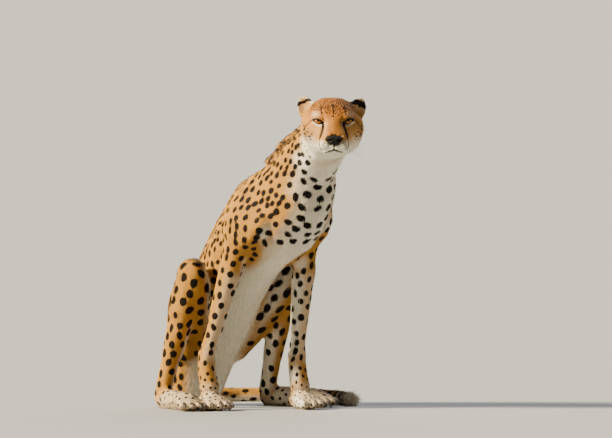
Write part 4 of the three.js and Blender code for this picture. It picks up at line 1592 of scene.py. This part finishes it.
def build_eye(side):
    """A smooth ball with the clear window's bulge, turned to its gaze."""
    way = SIDES[side]
    gaze = gaze_of(way)
    bpy.ops.object.select_all(action="DESELECT")
    bpy.ops.mesh.primitive_uv_sphere_add(segments=64, ring_count=40, radius=EYE_RADIUS)
    ball = bpy.context.active_object
    ball.name = ball.data.name = f"eyeball_{side}"
    turn = Vector((0, 0, 1)).rotation_difference(Vector(gaze)).to_matrix()
    points = coordinates(ball.data) @ np.array(turn).T
    facing = points @ gaze / EYE_RADIUS
    rise, angle = WINDOW
    bulge = rise * MM * smooth(math.cos(angle), 1.0, facing)
    points = points + gaze * bulge[:, None] + eye_centre(way)
    set_coordinates(ball.data, points)
    ball.data.shade_smooth()
    finish_piece(ball, "eye", eye_material(side), f"eye_{side}")


def tube_along(name, places, radii, cyclic=False, resolution=3):
    """A closed tube through the places, made from a curve. cyclic joins its ends."""
    curve = bpy.data.curves.new(name, "CURVE")
    curve.dimensions = "3D"
    curve.bevel_depth = 1.0
    curve.bevel_resolution = resolution
    curve.use_fill_caps = not cyclic
    spline = curve.splines.new("NURBS" if cyclic else "POLY")
    spline.points.add(len(places) - 1)
    for point, place, radius in zip(spline.points, places, radii):
        point.co = (*place, 1.0)
        point.radius = radius
    spline.use_cyclic_u = cyclic
    spline.order_u = 3
    spline.resolution_u = 3
    obj = link(name, curve)
    only(obj)
    bpy.ops.object.convert(target="MESH")
    obj = bpy.context.active_object
    obj.name = obj.data.name = name
    with changed(obj.data) as bm:
        bmesh.ops.remove_doubles(bm, verts=bm.verts[:], dist=0.01 * MM)
        bmesh.ops.recalc_face_normals(bm, faces=bm.faces[:])
    obj.data.shade_smooth()
    return obj


def build_lid_rim(side, material):
    """The dark edge of the lids, a ring round the opening on the eyeball."""
    y, z = ALMOND[:-1, 0], ALMOND[:-1, 1]
    x = np.maximum(ball_front(y, z, EYE_RADIUS / MM + LID_RIM_OUT), 30)
    places = from_head(np.column_stack([x, y * SIDES[side], z]))
    rim = tube_along(f"lid_rim_{side}", places, MM * mix(*LID_RIM, smooth(-5, 3, z)), cyclic=True)
    finish_piece(rim, "nose", material)


NOSE_LINE = [
    # x, z, half width, half height above and below, millimetres: from behind the pad to its front
    (64, -41, 14, 7, 10), (72, -41, 19, 9, 14), (78, -41, 21.5, 9.5, 17.5), (83, -42, 21, 9.2, 17),
    (87, -43, 18, 8, 14), (89.5, -44.5, 10.5, 4.6, 8),
]
NOSTRIL = [(9.5, -43.5), (12.0, -46.2), (16.0, -46.4), (19.5, -43.5)]  # y and z of its comma


def build_nose(material):
    """The bare nose pad: wide at the top, drawn in to the groove of the lip, with comma nostrils."""
    points, faces = [], []
    for x, z, half, top, bottom in NOSE_LINE:
        for step in range(NOSE_SIDES):
            angle = 2 * math.pi * step / NOSE_SIDES
            across, rise = math.cos(angle), math.sin(angle)
            narrow = 1 - NOSE_NARROWING * max(0.0, -rise) ** 1.15
            height = rise ** NOSE_FLATNESS * top if rise > 0 else rise * bottom
            points.append((x - 1.5 * max(0, -rise), across * half * narrow, z + height))
    last = (len(NOSE_LINE) - 1) * NOSE_SIDES
    for ring in range(0, last, NOSE_SIDES):
        for step in range(NOSE_SIDES):
            a, b = ring + step, ring + (step + 1) % NOSE_SIDES
            faces.append((a, b, b + NOSE_SIDES, a + NOSE_SIDES))
    faces.append(tuple(range(NOSE_SIDES))[::-1])
    faces.append(tuple(range(last, last + NOSE_SIDES)))
    mesh = bpy.data.meshes.new("nose_pad")
    mesh.from_pydata(points, [], faces)
    nose = link("nose_pad", mesh)
    only(nose)
    bpy.ops.object.mode_set(mode="EDIT")
    bpy.ops.mesh.select_all(action="SELECT")
    bpy.ops.mesh.normals_make_consistent(inside=False)
    bpy.ops.object.mode_set(mode="OBJECT")
    apply_modifier(nose, "SUBSURF", levels=2, render_levels=2)
    local = coordinates(mesh)
    x, y, z = local[:, 0], np.abs(local[:, 1]), local[:, 2]
    reach, _ = on_line(np.column_stack([y, z]), NOSTRIL)
    depth = 6.0 * bell(reach, 0, 2.3) * smooth(74, 80, x)
    rim = 0.8 * bell(reach, 4.2, 1.4) * smooth(74, 80, x)
    groove = 1.3 * bell(y, 0, 1.3) * smooth(80, 86, x) * smooth(-42, -50, z)
    local[:, 0] += rim - depth - groove
    set_coordinates(mesh, from_head(local))
    mesh.shade_smooth()
    finish_piece(nose, "nose", material, "nose")


def build_claw(name, material):
    """One curved claw, thick at the root and worn blunt."""
    _, end, side, number = name.split("_")
    ankle, heading = PAWS[f"{end}_{side}"]
    left, tip = TOES[int(number) - 1]
    a, b, c = (
        from_layout(paw_place(ankle, heading, tip + past, left * spread_by, up))
        for past, spread_by, up in CLAW_STEPS
    )
    t = np.linspace(0, 1, 9)[:, None]
    places = (1 - t) ** 2 * a + 2 * t * (1 - t) * (b + (0, 0, 1.5 * MM)) + t ** 2 * c
    radii = CLAW_RADIUS * MM * (1 - CLAW_TAPER * t[:, 0] ** 1.7)
    claw = tube_along(f"horn_{end}_{side}_{number}", places, radii)
    finish_piece(claw, "claw", material, name)


def build_whiskers(skin, side, material):
    """Thin tapered whiskers from the pad, swept out, back and a little down, as one mesh."""
    random = np.random.default_rng(sizes().seed + 5)
    tree = BVHTree.FromObject(skin, bpy.context.evaluated_depsgraph_get())
    way = SIDES[side]
    tubes = []
    for row, start in enumerate(WHISKER_ROWS):
        for number in range(WHISKERS_IN_ROW):
            local = np.array(start, float) + number * np.array(WHISKER_STEP)
            root, normal, _, _ = tree.find_nearest(Vector(from_head(local * (1, way, 1))))
            out = unit(np.array([0.10 - 0.14 * number, 1.0 * way, -0.10 - 0.16 * row])) @ HEAD_AXES
            length = sizes().whisker * random.uniform(0.55, 1.0)
            t = np.linspace(0, 1, 9)[:, None]
            sag = np.array([0.0, 0.0, -0.16]) - 0.22 * HEAD_AXES[0]
            places = np.array(root) - np.array(normal) * MM + out * length * t + sag * length * t ** 2
            radii = WHISKER_RADIUS * MM * (1 - WHISKER_TAPER * t[:, 0])
            tubes.append(tube_along(f"whisker_{side}_{row}_{number}", places, radii, resolution=0))
    only(*tubes)
    bpy.ops.object.join()
    whiskers = bpy.context.active_object
    whiskers.name = whiskers.data.name = f"whiskers_{side}"
    finish_piece(whiskers, "claw", material)


# ---- Stage ----
AZIMUTH = math.radians(55)
ELEVATION = math.radians(2.2)
CAMERA_DISTANCE = 80.0
METRES_PER_PIXEL = 0.00245
FRAME_SIZE = (612, 438)
SENSOR = 36.0
FLOOR_PIXEL = (280.7, 409.1)  # on which the shared frame's origin falls
FLOOR_RADIUS = 140.0
KEY_AROUND = math.radians(69)  # from the camera's line towards the picture's left
LIGHTS = [
    # name, share of the way towards the camera and to the picture's right, height and angular size in
    # degrees, strength, tint
    ("key", math.cos(KEY_AROUND), -math.sin(KEY_AROUND), 30, 9, 16.0, (1.0, 0.88, 0.64)),
    ("fill", 0.8, 0.7, 25, 60, 0.15, (0.90, 0.95, 1.0)),
    ("far", -1.0, 0.35, 40, 70, 2.2, (0.95, 0.97, 1.0)),
]
SKY_TINT = (0.98, 0.98, 1.0, 1.0)
SKY_FADE = 0.30  # the height, as a share of straight up, by which the sky is at its evenest
SKY_AT_HORIZON = 0.30
SKY_ABOVE = 0.13


def camera_axes():
    """Right, ahead and up as the camera sees them."""
    right = np.array([math.cos(AZIMUTH), math.sin(AZIMUTH), 0.0])
    ahead = np.array([-math.sin(AZIMUTH) * math.cos(ELEVATION), math.cos(AZIMUTH) * math.cos(ELEVATION),
                      -math.sin(ELEVATION)])
    return right, ahead, np.cross(right, ahead)


def build_camera():
    """A long lens at rest, framed so that the origin falls on its pixel."""
    right, ahead, up = camera_axes()
    aside = (FRAME_SIZE[0] / 2 - FLOOR_PIXEL[0]) * METRES_PER_PIXEL
    rise = (FLOOR_PIXEL[1] - FRAME_SIZE[1] / 2) * METRES_PER_PIXEL
    target = right * aside + up * rise
    camera = bpy.data.cameras.new("camera")
    camera.sensor_width = SENSOR
    camera.lens = SENSOR * CAMERA_DISTANCE / (FRAME_SIZE[0] * METRES_PER_PIXEL)
    camera.clip_end = 900.0
    camera.clip_start = 1.0
    obj = link("camera", camera)
    obj.location = target - ahead * CAMERA_DISTANCE
    obj.rotation_euler = Vector(ahead).to_track_quat("-Z", "Y").to_euler()
    bpy.context.scene.camera = obj


def build_light(name, way, height, size, strength, tint):
    """A soft distant light from the level direction way, raised by the height angle in degrees."""
    height = math.radians(height)
    light = bpy.data.lights.new(name, "SUN")
    light.angle = math.radians(size)
    light.energy = strength
    light.color = tint
    obj = link(name, light)
    toward = unit(way) * math.cos(height) + np.array([0.0, 0.0, math.sin(height)])
    obj.rotation_euler = Vector(-toward).to_track_quat("-Z", "Y").to_euler()


def build_stage():
    """The floor, the lights, the sky and the camera."""
    build_camera()
    bpy.ops.object.select_all(action="DESELECT")
    bpy.ops.mesh.primitive_circle_add(vertices=96, radius=FLOOR_RADIUS, fill_type="NGON")
    floor = bpy.context.active_object
    floor.name = floor.data.name = "floor"
    floor.data.materials.append(floor_material())
    right, ahead, _ = camera_axes()
    back = unit(-ahead * (1, 1, 0))
    for name, toward_camera, to_right, *settings in LIGHTS:
        build_light(name, back * toward_camera + right * to_right, *settings)
    world = bpy.context.scene.world or bpy.data.worlds.new("World")
    bpy.context.scene.world = world
    world.use_nodes = True
    tree = world.node_tree
    background = tree.nodes["Background"]
    background.inputs["Color"].default_value = SKY_TINT
    place = tree.nodes.new("ShaderNodeTexCoord")
    parts = tree.nodes.new("ShaderNodeSeparateXYZ")
    fade = tree.nodes.new("ShaderNodeMapRange")
    fade.inputs["From Max"].default_value = SKY_FADE
    fade.inputs["To Min"].default_value = SKY_AT_HORIZON
    fade.inputs["To Max"].default_value = SKY_ABOVE
    tree.links.new(place.outputs["Generated"], parts.inputs["Vector"])
    tree.links.new(parts.outputs["Z"], fade.inputs["Value"])
    tree.links.new(fade.outputs["Result"], background.inputs["Strength"])


# ---- Operators, panel and main ----
class CheetahStage(bpy.types.Operator):
    """Adds the floor, the soft studio lights and the camera"""
    bl_idname = "cheetah.stage"
    bl_label = "Stage"

    def execute(self, context):
        build_stage()
        return {"FINISHED"}


class CheetahSkin(bpy.types.Operator):
    """Builds one skin over all the flesh, with lids, lips, toes and markings"""
    bl_idname = "cheetah.skin"
    bl_label = "Skin"

    def execute(self, context):
        skin = build_skin()
        finish_piece(skin, "coat", coat_material("cheetah_skin", tufts=False), *FLESH)
        return {"FINISHED"}


class CheetahEyes(bpy.types.Operator):
    """Builds the eyeballs and the dark rims of the lids"""
    bl_idname = "cheetah.eyes"
    bl_label = "Eyes"

    def execute(self, context):
        rim = leather_material("cheetah_lid", 2600.0, 0.12)
        for side in SIDES:
            build_eye(side)
            build_lid_rim(side, rim)
        return {"FINISHED"}


class CheetahNose(bpy.types.Operator):
    """Builds the nose pad with its nostrils"""
    bl_idname = "cheetah.nose"
    bl_label = "Nose"

    def execute(self, context):
        build_nose(leather_material("cheetah_nose", 700.0, 0.45))
        return {"FINISHED"}


class CheetahClaws(bpy.types.Operator):
    """Builds the sixteen claws"""
    bl_idname = "cheetah.claws"
    bl_label = "Claws"

    def execute(self, context):
        horn = claw_material()
        for name in CLAWS:
            build_claw(name, horn)
        return {"FINISHED"}


class CheetahWhiskers(bpy.types.Operator):
    """Builds the whiskers of both sides"""
    bl_idname = "cheetah.whiskers"
    bl_label = "Whiskers"

    def execute(self, context):
        skin = bpy.data.objects.get("skin")
        if skin is None:
            raise RuntimeError("The skin has to be built before the whiskers")
        hair = whisker_material()
        for side in SIDES:
            build_whiskers(skin, side, hair)
        return {"FINISHED"}


class CheetahCoat(bpy.types.Operator):
    """Grows the coat of solid tufts over the skin"""
    bl_idname = "cheetah.coat"
    bl_label = "Coat"

    def execute(self, context):
        skin = bpy.data.objects.get("skin")
        if skin is None or not WORK:
            raise RuntimeError("The skin has to be built before the coat")
        build_coat(skin)
        return {"FINISHED"}


class CheetahPanel(bpy.types.Panel):
    """Lists the steps in the order in which they run"""
    bl_label = "Cheetah"
    bl_idname = "VIEW3D_PT_cheetah"
    bl_space_type = "VIEW_3D"
    bl_region_type = "UI"
    bl_category = "Cheetah"

    def draw(self, context):
        for operator in STEPS:
            self.layout.operator(operator.bl_idname)
        for group in (context.scene.cheetah_sizes, context.scene.cheetah_colours):
            for name in group.__annotations__:
                self.layout.prop(group, name)


STEPS = (CheetahStage, CheetahSkin, CheetahEyes, CheetahNose, CheetahClaws, CheetahWhiskers, CheetahCoat)
CLASSES = (CheetahSizes, CheetahColours, *STEPS, CheetahPanel)


def register():
    for cls in CLASSES:
        bpy.utils.register_class(cls)
    bpy.types.Scene.cheetah_sizes = PointerProperty(type=CheetahSizes)
    bpy.types.Scene.cheetah_colours = PointerProperty(type=CheetahColours)


def unregister():
    del bpy.types.Scene.cheetah_colours
    del bpy.types.Scene.cheetah_sizes
    for cls in reversed(CLASSES):
        bpy.utils.unregister_class(cls)


def main():
    register()
    bpy.ops.cheetah.stage()
    bpy.ops.cheetah.skin()
    bpy.ops.cheetah.eyes()
    bpy.ops.cheetah.nose()
    bpy.ops.cheetah.claws()
    bpy.ops.cheetah.whiskers()
    bpy.ops.cheetah.coat()


if __name__ == "__main__":
    main()
